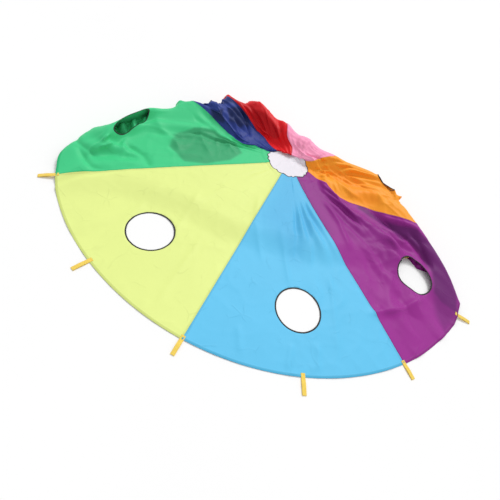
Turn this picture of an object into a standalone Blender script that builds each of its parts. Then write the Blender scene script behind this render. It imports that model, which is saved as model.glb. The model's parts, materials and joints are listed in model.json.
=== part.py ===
"""Play parachute: eight coloured gores round a white centre, with toss holes and webbing handles.

It lies on a floor. The front half is spread flat, and the rear half is heaped into a ridge close
behind the centre and tucked under. Every cloth piece is cut flat first, as it is sewn, and lay()
then takes each flat place to its place in the lay. Angles are degrees in plan: 0 is the front,
towards -Y, and they grow towards -X. Metres, +Z up, the floor at z = 0.
"""

import math
from typing import NamedTuple

import bmesh
import bpy
import numpy as np
from mathutils import Matrix, Vector

# Driving dimensions
CANOPY_RADIUS = 1.5
CENTRE_RADIUS = 0.150
HOLE_PLACE = 1.160
HOLE_RADIUS = 0.122
BINDING_WIDTH = 0.010
BINDING_THICKNESS = 0.0018
CLOTH_THICKNESS = 0.0012
SEAM_GAP = 0.0003
BINDING_GAP = 0.0009
HANDLE_GAP = 0.0008
HANDLE_LENGTH = 0.088
HANDLE_WIDTH = 0.021
WEBBING_THICKNESS = 0.0014
HANDLE_END_RADIUS = 0.0024

# The lay: the heap's height, its back slope, the fold at its foot and the layer tucked below
RIDGE_HEIGHT = 0.120
RIDGE_WIDTH = 0.190
BACK_REACH = 0.170
FOOT_RADIUS = 0.012
TUCKED_HEIGHT = 0.004
TOP_LIFT = 0.026
LIFT_RUN = 0.195
CANOPY_PLACE_X = 0.1685
CANOPY_PLACE_Y = 0.5220

# Meshing
NORMAL_STEP = 0.001
MERGE_DISTANCE = 0.0004
MIN_TAIL = 0.12
GORE_ANGLE = 45.0
HOLE_STEPS = 24
CENTRE_RINGS = 3
FRONT_COLUMNS = 6
REAR_COLUMNS = 10
TOP_ROWS = 8
SLOPE_ROWS = 3
FOOT_ROWS = 3
TUCKED_ROWS = 5
PATH_STEPS = 24
END_STEPS = 6

# Walls that face each other across a seam are split along the same diagonal, by this direction
WALL_ORDER = (0.8, 0.6)

# Pleats along the ridge: their angle in the flat cloth, and shares of the crest's height and place
PLEAT_ANGLE = 22.5
PLEAT_HEIGHT_SHARE = 0.13
PLEAT_PLACE_SHARE = 0.035
NARROW_RIDGE_SHARE = 0.55


class Ray(NamedTuple):
    """How the cloth runs along one ray of the canopy, from the centre over the crest to the rim.

    Places are shares of the canopy's radius, heights of the ridge's, reaches of the back slope's.
    """

    angle: float
    crest_share: float
    crest_angle: float
    height_share: float
    cloth_share: float
    outward: float
    reach_share: float
    rim_x_share: float
    rim_y_share: float


# Where cloth_share is over 1 the ray lies flat, and its rim shows
RAYS = (
    Ray(-315.0, 1.990, -315.0, 0.00, 2.00, -315.0, 0.20, -0.707, -0.707),
    Ray(-292.5, 1.018, -292.5, 0.05, 1.03, -292.5, 0.20, -0.96, -0.39),
    Ray(-281.25, 0.905, -282.6, 0.35, 0.94, -268.0, 0.35, -0.83, -0.28),
    Ray(-270.0, 0.745, -270.2, 0.44, 0.85, -260.0, 0.40, -0.71, -0.23),
    Ray(-247.5, 0.515, -248.0, 0.65, 0.68, -242.0, 0.48, -0.56, -0.24),
    Ray(-225.0, 0.435, -242.5, 0.82, 0.66, -228.0, 0.55, -0.40, -0.31),
    Ray(-202.5, 0.410, -230.0, 0.90, 0.60, -214.0, 0.55, -0.24, -0.37),
    Ray(-180.0, 0.318, -212.0, 1.00, 0.44, -190.0, 0.70, -0.08, -0.40),
    Ray(-157.5, 0.170, -190.0, 0.90, 0.35, -168.0, 0.45, 0.07, -0.41),
    Ray(-135.0, 0.135, -145.0, 0.78, 0.36, -150.0, 0.45, 0.23, -0.39),
    Ray(-112.5, 0.210, -100.0, 0.72, 0.49, -136.0, 0.50, 0.35, -0.37),
    Ray(-90.0, 0.440, -88.0, 0.64, 0.77, -113.0, 0.65, 0.46, -0.37),
    Ray(-67.5, 0.630, -62.8, 0.60, 0.77, -88.0, 0.40, 0.54, -0.45),
    Ray(-56.25, 0.818, -54.5, 0.38, 0.90, -77.0, 0.25, 0.62, -0.585),
    Ray(-45.0, 1.005, -44.5, 0.03, 1.02, -70.0, 0.20, 0.70, -0.72),
    Ray(-22.5, 1.990, -22.5, 0.00, 2.00, -22.5, 0.20, 0.43, -1.0),
)
FLAT_FROM, FLAT_TO = -315.0, -22.5

# The front edge of what lies below the top layer: shares of the canopy's radius, left to right
LIFT_EDGE_SHARES = (
    (-1.10, -0.60),
    (-0.85, -0.47),
    (-0.70, -0.43),
    (-0.50, -0.46),
    (-0.25, -0.55),
    (0.10, -0.58),
    (0.35, -0.56),
    (0.50, -0.60),
    (0.65, -0.74),
    (0.85, -0.92),
)

# Its left and right ends, and how far in the top layer takes to rise, in the same shares
LIFT_LEFT_SHARE = -0.97
LIFT_RIGHT_SHARE = 0.77
LIFT_SIDE_SHARE = 0.15

# The tucked layer is drawn out no further than this share of its cut length
TUCKED_STRETCH_SHARE = 1.2


class Fold(NamedTuple):
    """A main fold of the top layer, between two flat places, as shares of the canopy's radius."""

    angle_from: float
    from_share: float
    angle_to: float
    to_share: float
    width_share: float
    height_share: float


FOLDS = (
    Fold(-62.0, 0.24, -50.0, 0.62, 0.040, 0.22),
    Fold(-50.0, 0.62, -36.0, 0.86, 0.035, 0.16),
    Fold(-28.0, 0.80, -44.0, 0.66, 0.030, 0.12),
    Fold(-78.0, 0.24, -76.0, 0.62, 0.035, 0.20),
    Fold(78.0, 0.90, 88.0, 0.70, 0.035, 0.14),
    Fold(88.0, 0.70, 104.0, 0.52, 0.035, 0.18),
    Fold(102.0, 0.86, 92.0, 0.92, 0.035, 0.24),
    Fold(116.0, 0.22, 122.0, 0.56, 0.035, 0.18),
)

# Gores in order round the canopy, with the plan angle of each one's middle
GORES = (
    ("gore_light_blue", 0.0, FRONT_COLUMNS, (0.150, 0.560, 0.860)),
    ("gore_yellow", 45.0, FRONT_COLUMNS, (0.800, 0.900, 0.300)),
    ("gore_green", 90.0, REAR_COLUMNS, (0.070, 0.610, 0.230)),
    ("gore_dark_blue", 135.0, REAR_COLUMNS, (0.040, 0.060, 0.300)),
    ("gore_red", 180.0, REAR_COLUMNS, (0.680, 0.015, 0.025)),
    ("gore_pink", 225.0, REAR_COLUMNS, (0.900, 0.230, 0.420)),
    ("gore_orange", 270.0, REAR_COLUMNS, (1.000, 0.270, 0.030)),
    ("gore_purple", 315.0, REAR_COLUMNS, (0.300, 0.050, 0.270)),
)
WHITE = (0.86, 0.86, 0.90)
BLACK = (0.020, 0.020, 0.020)
WEBBING_YELLOW = (0.93, 0.66, 0.08)
CLOTH_ROUGHNESS = 0.55
WEBBING_ROUGHNESS = 0.75


def clear_scene():
    """Remove the objects that a new file holds."""
    for old in list(bpy.data.objects):
        bpy.data.objects.remove(old, do_unlink=True)


def material(name, colour, roughness):
    """A plain Principled material."""
    made = bpy.data.materials.new(name)
    made.use_nodes = True
    shader = made.node_tree.nodes["Principled BSDF"]
    shader.inputs["Base Color"].default_value = (*colour, 1.0)
    shader.inputs["Roughness"].default_value = roughness
    return made


def smooth(value):
    """Smooth step from 0 to 1."""
    held = np.clip(value, 0.0, 1.0)
    return held * held * (3.0 - 2.0 * held)


def monotone(xs, ys, at):
    """A cubic through the points (xs, ys) that makes no hump between them."""
    steps = np.diff(xs)
    slopes = np.diff(ys) / steps
    tangents = np.zeros(len(xs))
    tangents[0], tangents[-1] = slopes[0], slopes[-1]
    for i in range(1, len(xs) - 1):
        if slopes[i - 1] * slopes[i] > 0:
            before = 2 * steps[i] + steps[i - 1]
            after = steps[i] + 2 * steps[i - 1]
            tangents[i] = (before + after) / (before / slopes[i - 1] + after / slopes[i])
    i = np.clip(np.searchsorted(xs, at) - 1, 0, len(xs) - 2)
    t = (at - xs[i]) / steps[i]
    return (
        (1 + 2 * t) * (1 - t) ** 2 * ys[i]
        + t * (1 - t) ** 2 * steps[i] * tangents[i]
        + t * t * (3 - 2 * t) * ys[i + 1]
        + t * t * (t - 1) * steps[i] * tangents[i + 1]
    )


def ray(angle):
    """The ray at each angle, in real sizes, as a Ray of arrays."""
    turned = (np.asarray(angle, float) - FLAT_FROM) % 360.0 + FLAT_FROM
    middle = (FLAT_TO + FLAT_FROM + 360.0) / 2.0
    turned = np.where(turned > FLAT_TO, np.where(turned > middle, FLAT_FROM, FLAT_TO), turned)
    table = np.array(RAYS)
    column = Ray(*(monotone(table[:, 0], values, turned) for values in table.T))
    wave = np.cos(np.radians(turned * 360.0 / PLEAT_ANGLE)) * column.height_share
    return Ray(
        np.asarray(angle, float),
        column.crest_share * CANOPY_RADIUS * (1.0 + PLEAT_PLACE_SHARE * wave),
        np.asarray(angle, float) + column.crest_angle - turned,
        column.height_share * RIDGE_HEIGHT * (1.0 + PLEAT_HEIGHT_SHARE * wave),
        column.cloth_share * CANOPY_RADIUS,
        column.outward,
        column.reach_share * BACK_REACH,
        column.rim_x_share * CANOPY_RADIUS,
        column.rim_y_share * CANOPY_RADIUS,
    )


def direction(angle):
    """The plan direction of an angle."""
    radians = np.radians(angle)
    return np.stack([-np.sin(radians), -np.cos(radians)], -1)


def lift(place):
    """How far the top layer lies above the floor, over the layer tucked below it."""
    edge = np.array(LIFT_EDGE_SHARES) * CANOPY_RADIUS
    x = np.clip(place[..., 0], edge[0, 0], edge[-1, 0])
    front = monotone(edge[:, 0], edge[:, 1], x)
    share = place[..., 0] / CANOPY_RADIUS
    sides = smooth((share - LIFT_LEFT_SHARE) / LIFT_SIDE_SHARE)
    sides = sides * smooth((LIFT_RIGHT_SHARE - share) / LIFT_SIDE_SHARE)
    return TOP_LIFT * sides * smooth((place[..., 1] - front) / LIFT_RUN)


def folds(flat_x, flat_y, low, high):
    """The height that the main folds add to the top layer, fading from low to high radius."""
    added = np.zeros_like(flat_x)
    for fold in FOLDS:
        start = direction(fold.angle_from) * fold.from_share * CANOPY_RADIUS
        run = direction(fold.angle_to) * fold.to_share * CANOPY_RADIUS - start
        along = ((flat_x - start[0]) * run[0] + (flat_y - start[1]) * run[1]) / (run @ run)
        held = np.clip(along, 0.0, 1.0)
        far = np.hypot(flat_x - start[0] - held * run[0], flat_y - start[1] - held * run[1])
        width = fold.width_share * CANOPY_RADIUS
        added += fold.height_share * RIDGE_HEIGHT * np.exp(-((far / width) ** 2))
    radius = np.hypot(flat_x, flat_y)
    inner = smooth((radius - CENTRE_RADIUS) / CENTRE_RADIUS)
    return added * inner * smooth((high - radius) / (high - low))


def back_path(crest_height, reach):
    """Half the outline of the heap's back: down from the crest, round the foot, to the tucked layer.

    Gives the distance outwards from the crest, the height and the length along the cloth.
    """
    turn = np.linspace(0.0, math.pi / 2, PATH_STEPS)[None]
    low = TUCKED_HEIGHT + FOOT_RADIUS
    out = np.concatenate(
        [reach[:, None] * np.sin(turn), (reach - FOOT_RADIUS)[:, None] + FOOT_RADIUS * np.cos(turn)[:, 1:]],
        axis=1,
    )
    foot = np.repeat(low - FOOT_RADIUS * np.sin(turn)[:, 1:], len(reach), axis=0)
    height = np.concatenate([low + (crest_height - low)[:, None] * np.cos(turn), foot], axis=1)
    step = np.hypot(np.diff(out, axis=1), np.diff(height, axis=1))
    length = np.concatenate([np.zeros((len(reach), 1)), np.cumsum(step, axis=1)], axis=1)
    return out, height, length


def lay_polar(radius, angle):
    """Where the middle of the cloth lies, for flat places given as radius and angle."""
    run = ray(angle)
    crest = direction(run.crest_angle) * run.crest_share[..., None]
    share = np.clip(radius / run.cloth_share, 0.0, 1.0)
    top = crest * share[..., None]
    width = np.minimum(RIDGE_WIDTH, NARROW_RIDGE_SHARE * run.crest_share)
    at_centre = np.exp(-((run.crest_share / width) ** 2))
    hump = np.exp(-((run.crest_share * (1.0 - share) / width) ** 2))
    height = CLOTH_THICKNESS / 2 + lift(top)
    height = height + run.height_share * (hump - at_centre) / (1.0 - at_centre)
    flat = direction(run.angle) * radius[..., None]
    height = height + folds(flat[..., 0], flat[..., 1], run.cloth_share * 0.8, run.cloth_share)
    laid = np.concatenate([top, height[..., None]], axis=-1)
    over = radius > run.cloth_share
    if not over.any():
        return laid
    crest_height = (CLOTH_THICKNESS / 2 + lift(crest) + run.height_share)[over]
    out, up, length = back_path(crest_height, run.reach_share[over])
    along = (radius - run.cloth_share)[over]
    away = np.array([np.interp(*row) for row in zip(along, length, out)])
    rise = np.array([np.interp(*row) for row in zip(along, length, up)])
    outward = direction(run.outward)[over]
    tucked_from = crest[over] + outward * (run.reach_share[over] - FOOT_RADIUS)[:, None]
    rim = np.stack([run.rim_x_share, run.rim_y_share], -1)[over]
    past = along - length[:, -1]
    tail = np.maximum((CANOPY_RADIUS - run.cloth_share)[over] - length[:, -1], MERGE_DISTANCE)
    forward = rim - tucked_from
    reach = np.linalg.norm(forward, axis=1)
    stretch = np.minimum(reach / tail, TUCKED_STRETCH_SHARE)
    tucked = tucked_from + forward * (np.clip(past, 0.0, None) * stretch / reach)[:, None]
    plan = np.where((past > 0)[:, None], tucked, crest[over] + outward * away[:, None])
    laid[over] = np.concatenate([plan, rise[:, None]], axis=1)
    return laid


def lay_flat(flat):
    """Where the middle of the cloth lies, for flat places given as x and y."""
    radius = np.hypot(flat[:, 0], flat[:, 1])
    angle = np.degrees(np.arctan2(-flat[:, 0], -flat[:, 1]))
    return lay_polar(radius, angle) + np.array([CANOPY_PLACE_X, CANOPY_PLACE_Y, 0.0])


def lay(flat):
    """Places and upward normals of the laid cloth, for flat places given as x and y."""
    step_x = np.array([NORMAL_STEP, 0.0])
    step_y = np.array([0.0, NORMAL_STEP])
    along_x = lay_flat(flat + step_x) - lay_flat(flat - step_x)
    along_y = lay_flat(flat + step_y) - lay_flat(flat - step_y)
    normal = np.cross(along_x, along_y)
    normal /= np.linalg.norm(normal, axis=1)[:, None]
    return lay_flat(flat), normal


def laid_solid(name, sheet, below, above, finish):
    """Make one closed object from a flat sheet: laid, with cloth below and above its middle."""
    bmesh.ops.triangulate(sheet, faces=sheet.faces[:])
    sheet.verts.index_update()
    flat = np.array([vert.co[:2] for vert in sheet.verts])
    place, normal = lay(flat)
    solid = bmesh.new()
    high = [solid.verts.new(p) for p in place + normal * above]
    low = [solid.verts.new(p) for p in place - normal * below]
    for face in sheet.faces:
        index = [vert.index for vert in face.verts]
        if face.normal.z < 0:
            index.reverse()
        solid.faces.new([high[i] for i in index])
        solid.faces.new([low[i] for i in reversed(index)])
    for edge in sheet.edges:
        if edge.is_boundary:
            loop = edge.link_loops[0]
            a, b = loop.vert.index, loop.link_loop_next.vert.index
            if edge.link_faces[0].normal.z < 0:
                a, b = b, a
            if flat[a] @ WALL_ORDER < flat[b] @ WALL_ORDER:
                wall = ([high[a], low[a], low[b]], [high[a], low[b], high[b]])
            else:
                wall = ([high[a], low[a], high[b]], [low[a], low[b], high[b]])
            for corners in wall:
                solid.faces.new(corners)
    sheet.free()
    mesh = bpy.data.meshes.new(name)
    solid.to_mesh(mesh)
    solid.free()
    mesh.shade_smooth()
    mesh.set_sharp_from_angle(angle=math.radians(50.0))
    mesh.materials.append(finish)
    made = bpy.data.objects.new(name, mesh)
    bpy.context.collection.objects.link(made)
    return made


def grid_sheet(rows, closed=False):
    """A flat sheet from rows of places, closed into a ring where asked."""
    sheet = bmesh.new()
    verts = [[sheet.verts.new((x, y, 0.0)) for x, y in row] for row in rows]
    count = len(verts[0])
    for inner, outer in zip(verts, verts[1:]):
        for i in range(count if closed else count - 1):
            j = (i + 1) % count
            sheet.faces.new([inner[i], outer[i], outer[j], inner[j]])
    return sheet


def thicken(sheet, thickness, along):
    """Extrude every face of a sheet along a direction into one closed solid."""
    grown = bmesh.ops.extrude_face_region(sheet, geom=sheet.faces[:])
    moved = [item for item in grown["geom"] if isinstance(item, bmesh.types.BMVert)]
    bmesh.ops.translate(sheet, verts=moved, vec=Vector(along) * thickness)
    bmesh.ops.recalc_face_normals(sheet, faces=sheet.faces[:])


def row_radii(angle):
    """Radii of a gore's rows at an angle, close together where the cloth turns over."""
    run = ray(np.array([angle]))
    _, _, length = back_path(TOP_LIFT + run.height_share, run.reach_share)
    crest = min(run.cloth_share[0], CANOPY_RADIUS - MIN_TAIL)
    slope = min(crest + length[0, PATH_STEPS - 1], CANOPY_RADIUS - MIN_TAIL / 2)
    foot = min(crest + length[0, -1], CANOPY_RADIUS - MIN_TAIL / 3)
    inner = CENTRE_RADIUS + BINDING_WIDTH + BINDING_GAP
    return np.concatenate(
        [
            np.linspace(inner, crest, TOP_ROWS, endpoint=False),
            np.linspace(crest, slope, SLOPE_ROWS, endpoint=False),
            np.linspace(slope, foot, FOOT_ROWS, endpoint=False),
            np.linspace(foot, CANOPY_RADIUS, TUCKED_ROWS + 1),
        ]
    )


def column_angles(middle, columns):
    """The angles of a gore's columns, from seam to seam."""
    return [middle + GORE_ANGLE * (i / columns - 0.5) for i in range(columns + 1)]


def gore_grid(middle, columns):
    """The flat grid of a gore: a sector between seams, from the centre's binding to the rim."""
    places = []
    for angle in column_angles(middle, columns):
        radii = row_radii(angle)
        inset = -SEAM_GAP * (angle - middle) / GORE_ANGLE
        across = direction(angle + 90.0) * inset
        places.append(direction(angle) * radii[:, None] + across)
    return grid_sheet(np.stack(places, axis=1))


def cut_sheet(middle, columns, cuts):
    """A gore's flat grid after its cuts: pairs of a Boolean operation and the radius of its disc."""
    slab = gore_grid(middle, columns)
    thicken(slab, CLOTH_THICKNESS, (0.0, 0.0, 1.0))
    mesh = bpy.data.meshes.new("flat_gore")
    slab.to_mesh(mesh)
    slab.free()
    flat = bpy.data.objects.new("flat_gore", mesh)
    bpy.context.collection.objects.link(flat)
    discs = []
    for operation, radius in cuts:
        cut = flat.modifiers.new(operation.lower(), "BOOLEAN")
        cut.operation = operation
        cut.object = hole_disc(middle, radius)
        discs.append(cut.object)
    bpy.context.view_layer.update()
    evaluated = flat.evaluated_get(bpy.context.evaluated_depsgraph_get())
    sheet = bmesh.new()
    sheet.from_mesh(evaluated.to_mesh())
    evaluated.to_mesh_clear()
    for helper in (flat, *discs):
        bpy.data.objects.remove(helper, do_unlink=True)
    bmesh.ops.remove_doubles(sheet, verts=sheet.verts[:], dist=MERGE_DISTANCE)
    sheet.normal_update()
    side = [face for face in sheet.faces if face.normal.z < 0.5]
    bmesh.ops.delete(sheet, geom=side, context="FACES")
    loose = [vert for vert in sheet.verts if not vert.link_faces]
    bmesh.ops.delete(sheet, geom=loose, context="VERTS")
    return sheet


def hole_disc(middle, radius):
    """A round cutter for a gore's toss hole, with a corner of its outline on the gore's middle."""
    bm = bmesh.new()
    bmesh.ops.create_cone(
        bm,
        cap_ends=True,
        segments=HOLE_STEPS,
        radius1=radius,
        radius2=radius,
        depth=HOLE_RADIUS,
    )
    mesh = bpy.data.meshes.new("hole_disc")
    bm.to_mesh(mesh)
    bm.free()
    disc = bpy.data.objects.new("hole_disc", mesh)
    disc.hide_render = True
    disc.display_type = "WIRE"
    x, y = direction(middle) * HOLE_PLACE
    disc.location = (x, y, 0.0)
    bpy.context.collection.objects.link(disc)
    return disc


def centre_rings(radii):
    """Flat rings round the canopy's middle, with a corner on every column of every gore."""
    angles = [a for _, middle, columns, _ in GORES for a in column_angles(middle, columns)[:-1]]
    around = direction(np.array(angles))
    return grid_sheet([around * radius for radius in radii], closed=True), len(angles)


def centre_sheet():
    """The round centre, as rings round one middle place."""
    radii = np.linspace(0.0, CENTRE_RADIUS - BINDING_GAP, CENTRE_RINGS + 1)[1:]
    sheet, count = centre_rings(radii)
    inner = list(sheet.verts)[:count]
    middle = sheet.verts.new((0.0, 0.0, 0.0))
    for vert, after in zip(inner, inner[1:] + inner[:1]):
        sheet.faces.new([middle, vert, after])
    bmesh.ops.recalc_face_normals(sheet, faces=sheet.faces[:])
    return sheet


def handle_mesh():
    """A flattened loop of webbing: its root is round about the origin, and it runs along +X."""
    half = WEBBING_THICKNESS
    end = HANDLE_LENGTH - HANDLE_END_RADIUS
    outline = []
    for i in range(END_STEPS + 1):
        turn = math.pi / 2 + math.pi * i / END_STEPS
        outline.append((half * math.cos(turn), half * math.sin(turn)))
    for i in range(END_STEPS + 1):
        turn = -math.pi / 2 + math.pi * i / END_STEPS
        outline.append((end + HANDLE_END_RADIUS * math.cos(turn), HANDLE_END_RADIUS * math.sin(turn)))
    neck = end - 3.0 * HANDLE_END_RADIUS
    outline.insert(END_STEPS + 1, (neck, -half))
    outline.append((neck, half))
    bm = bmesh.new()
    side = [bm.verts.new((x, -HANDLE_WIDTH / 2, z)) for x, z in outline]
    bm.faces.new(side)
    thicken(bm, HANDLE_WIDTH, (0.0, 1.0, 0.0))
    mesh = bpy.data.meshes.new("handle")
    bm.to_mesh(mesh)
    bm.free()
    mesh.shade_smooth()
    mesh.set_sharp_from_angle(angle=math.radians(50.0))
    return mesh


def rim_place(angle):
    """A place on the rim in the lay, the line of the hem there and the level way out from it."""
    spread = math.degrees(HANDLE_WIDTH / CANOPY_RADIUS) / 2
    flat = direction(angle + np.array([-spread, 0.0, spread])) * CANOPY_RADIUS
    inside = direction(np.array([angle])) * (CANOPY_RADIUS - HANDLE_WIDTH)
    before, at, after, within = lay_flat(np.concatenate([flat, inside]))
    hem = Vector(after - before).normalized()
    out = Vector((hem.y, -hem.x, 0.0)).normalized()
    if out.dot(Vector(at - within)) < 0:
        out.negate()
        hem.negate()
    return Vector(at), hem, out


def add_handle(number, angle, mesh, finish):
    """A webbing handle hinged on top of the hem, its far end on the floor."""
    at, hem, out = rim_place(angle)
    up = out.cross(hem)
    root = at + up * (CLOTH_THICKNESS / 2 + HANDLE_GAP + WEBBING_THICKNESS)
    fall = root.z - HANDLE_END_RADIUS - abs(hem.z) * HANDLE_WIDTH / 2
    drop = math.asin(fall / (HANDLE_LENGTH - HANDLE_END_RADIUS))
    along = out * math.cos(drop) - up * math.sin(drop)
    frame = Matrix((along, hem, along.cross(hem))).transposed().to_4x4()
    made = bpy.data.objects.new(f"handle_{number:02d}", mesh.copy())
    made.data.materials.append(finish)
    made.matrix_world = Matrix.Translation(root) @ frame
    bpy.context.collection.objects.link(made)
    return made


def build():
    """Make every piece."""
    clear_scene()
    half = CLOTH_THICKNESS / 2
    black = material("binding_black", BLACK, CLOTH_ROUGHNESS)
    outer = HOLE_RADIUS + BINDING_WIDTH
    for name, middle, columns, colour in GORES:
        finish = material(name, colour, CLOTH_ROUGHNESS)
        gore = cut_sheet(middle, columns, [("DIFFERENCE", outer + BINDING_GAP)])
        laid_solid(name, gore, half, half, finish)
        ring = cut_sheet(middle, columns, [("INTERSECT", outer), ("DIFFERENCE", HOLE_RADIUS)])
        binding = name.replace("gore", "hole_binding")
        laid_solid(binding, ring, half, BINDING_THICKNESS - half, black)
    laid_solid("centre", centre_sheet(), half, half, material("centre_white", WHITE, CLOTH_ROUGHNESS))
    ring, _ = centre_rings([CENTRE_RADIUS, CENTRE_RADIUS + BINDING_WIDTH])
    laid_solid("centre_binding", ring, half, BINDING_THICKNESS - half, black)
    webbing = material("webbing_yellow", WEBBING_YELLOW, WEBBING_ROUGHNESS)
    mesh = handle_mesh()
    for i in range(2 * len(GORES)):
        add_handle(i + 1, i * GORE_ANGLE / 2, mesh, webbing)


build()
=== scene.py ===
"""Dress the play parachute: thin nylon gores, bound toss holes and webbing handles on a pale floor.

The canopy is cut flat as one net of small panels, laid over its heap, crumpled where the lay gathers
it, and then parted into its gores and its centre. Angles are degrees in plan: 0 is the front, towards
-Y, and they grow towards -X. Metres, +Z up, the floor at z = 0.
"""

from __future__ import annotations

import json
import logging
import math
from collections.abc import Callable
from dataclasses import dataclass
from enum import Enum
from typing import NamedTuple

import bpy
import numpy as np
from mathutils import Matrix, Vector
from mathutils.bvhtree import BVHTree

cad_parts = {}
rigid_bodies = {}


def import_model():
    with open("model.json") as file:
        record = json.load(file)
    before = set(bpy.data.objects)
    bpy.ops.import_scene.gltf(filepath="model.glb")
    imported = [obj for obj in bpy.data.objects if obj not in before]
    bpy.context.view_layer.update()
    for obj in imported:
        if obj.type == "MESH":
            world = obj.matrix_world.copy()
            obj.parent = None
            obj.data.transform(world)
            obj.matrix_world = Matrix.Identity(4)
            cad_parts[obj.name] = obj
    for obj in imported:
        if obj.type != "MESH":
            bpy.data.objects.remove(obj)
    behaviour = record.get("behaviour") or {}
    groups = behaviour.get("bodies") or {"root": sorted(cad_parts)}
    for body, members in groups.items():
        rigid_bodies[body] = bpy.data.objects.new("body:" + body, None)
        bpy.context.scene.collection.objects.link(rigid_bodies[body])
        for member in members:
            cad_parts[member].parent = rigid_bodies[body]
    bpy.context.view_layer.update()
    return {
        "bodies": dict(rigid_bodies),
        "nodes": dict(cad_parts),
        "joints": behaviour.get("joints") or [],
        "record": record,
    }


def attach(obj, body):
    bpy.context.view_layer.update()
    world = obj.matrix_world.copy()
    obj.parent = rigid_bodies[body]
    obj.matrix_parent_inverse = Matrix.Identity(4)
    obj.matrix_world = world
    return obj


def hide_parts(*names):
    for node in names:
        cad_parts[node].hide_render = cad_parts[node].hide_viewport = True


LOG = logging.getLogger("play_parachute")
Array = np.ndarray

# The steepest slope of a wave that takes up a slack of 1, and how thin raised lines are
WAVE_SLOPE = 2.0
RIDGE_SHARPNESS = 2.6


class Ray(NamedTuple):
    """How the cloth runs along one ray of the canopy, from the centre over the crest to the rim.

    Places are shares of the canopy's radius, heights of the ridge's, reaches of the back slope's.
    """

    angle: float
    crest_share: float
    crest_angle: float
    height_share: float
    cloth_share: float
    outward: float
    reach_share: float
    rim_x_share: float
    rim_y_share: float


# Where cloth_share is over 1 the ray lies flat, and its rim shows
RAYS = (
    Ray(-315.0, 1.990, -315.0, 0.00, 2.00, -315.0, 0.20, -0.707, -0.707),
    Ray(-292.5, 1.018, -292.5, 0.05, 1.03, -292.5, 0.20, -0.96, -0.39),
    Ray(-281.25, 0.905, -282.6, 0.35, 0.94, -268.0, 0.35, -0.83, -0.28),
    Ray(-270.0, 0.745, -270.2, 0.44, 0.85, -260.0, 0.40, -0.71, -0.23),
    Ray(-247.5, 0.515, -248.0, 0.65, 0.68, -242.0, 0.48, -0.56, -0.24),
    Ray(-225.0, 0.435, -242.5, 0.82, 0.66, -228.0, 0.55, -0.40, -0.31),
    Ray(-202.5, 0.410, -230.0, 0.90, 0.60, -214.0, 0.55, -0.24, -0.37),
    Ray(-180.0, 0.318, -212.0, 1.00, 0.44, -190.0, 0.70, -0.08, -0.40),
    Ray(-157.5, 0.170, -190.0, 0.90, 0.35, -168.0, 0.45, 0.07, -0.41),
    Ray(-135.0, 0.135, -145.0, 0.78, 0.36, -150.0, 0.45, 0.23, -0.39),
    Ray(-112.5, 0.210, -100.0, 0.72, 0.49, -136.0, 0.50, 0.35, -0.37),
    Ray(-90.0, 0.440, -88.0, 0.64, 0.77, -113.0, 0.65, 0.46, -0.37),
    Ray(-67.5, 0.630, -62.8, 0.60, 0.77, -88.0, 0.40, 0.54, -0.45),
    Ray(-56.25, 0.836, -54.5, 0.38, 0.90, -77.0, 0.25, 0.62, -0.585),
    Ray(-45.0, 1.005, -44.5, 0.03, 1.02, -70.0, 0.20, 0.70, -0.72),
    Ray(-22.5, 1.990, -22.5, 0.00, 2.00, -22.5, 0.20, 0.43, -1.0),
)
FLAT_FROM, FLAT_TO = -315.0, -22.5


class Spread(NamedTuple):
    """How one ray's top layer lies in plan, at four places between the centre and the crest.

    Each place has its distance from the middle, as a share of its flat one, and its turn in degrees.
    """

    angle: float
    inner_share: float
    inner_turn: float
    edge_share: float
    edge_turn: float
    third_share: float
    third_turn: float
    far_share: float
    far_turn: float


# At the back the cloth folds forward over the centre, so that only the front half of it shows
SPREADS = (
    Spread(-315.0, 1.00, 0.0, 1.00, 0.0, 1.00, 0.0, 1.00, 0.0),
    Spread(-292.5, 1.00, 0.0, 1.00, -0.5, 1.00, 0.0, 1.00, 0.0),
    Spread(-281.25, 1.00, 0.0, 0.99, -0.3, 0.98, 0.0, 0.98, -0.6),
    Spread(-270.0, 1.00, 0.0, 0.97, 0.0, 0.94, 0.0, 0.91, -1.0),
    Spread(-247.5, 0.98, -1.5, 0.93, -4.5, 0.75, -12.0, 0.74, -2.5),
    Spread(-225.0, 0.90, -6.0, 0.76, -20.0, 0.76, -22.0, 0.71, -20.0),
    Spread(-202.5, 0.82, -8.0, 0.62, -32.0, 0.66, -20.0, 0.70, -22.5),
    Spread(-180.0, 0.76, -4.0, 0.37, -35.0, 0.46, -33.0, 0.55, -32.0),
    Spread(-157.5, 0.74, 0.0, 0.24, -8.0, 0.37, -16.0, 0.43, -34.0),
    Spread(-135.0, 0.76, 4.0, 0.39, 29.0, 0.36, 4.0, 0.36, -10.0),
    Spread(-112.5, 0.82, 8.0, 0.69, 22.0, 0.55, 15.0, 0.47, 14.0),
    Spread(-90.0, 0.94, 6.0, 0.88, 12.0, 0.63, 10.0, 0.58, 5.0),
    Spread(-67.5, 0.99, 3.0, 0.93, 6.5, 0.84, 14.5, 0.84, 5.5),
    Spread(-56.25, 1.00, 2.0, 0.97, 5.0, 0.90, 8.0, 0.93, 3.0),
    Spread(-45.0, 1.00, 2.0, 0.99, 4.0, 0.985, 2.5, 0.99, 0.5),
    Spread(-22.5, 1.00, 5.0, 1.00, 5.0, 1.00, 0.0, 1.00, 0.0),
    Spread(0.0, 1.00, 0.0, 1.00, 0.0, 1.00, 0.0, 1.00, 0.0),
)

# The front edge of what lies below the top layer: shares of the canopy's radius, left to right
LIFT_EDGE_SHARES = (
    (-1.10, -0.60),
    (-0.85, -0.47),
    (-0.70, -0.43),
    (-0.50, -0.46),
    (-0.25, -0.55),
    (0.10, -0.58),
    (0.35, -0.56),
    (0.50, -0.60),
    (0.65, -0.74),
    (0.85, -0.92),
)


class Fold(NamedTuple):
    """A fold of the top layer between two flat places: angles, shares of the radius and metres."""

    angle_from: float
    from_share: float
    angle_to: float
    to_share: float
    width: float
    height: float


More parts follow.
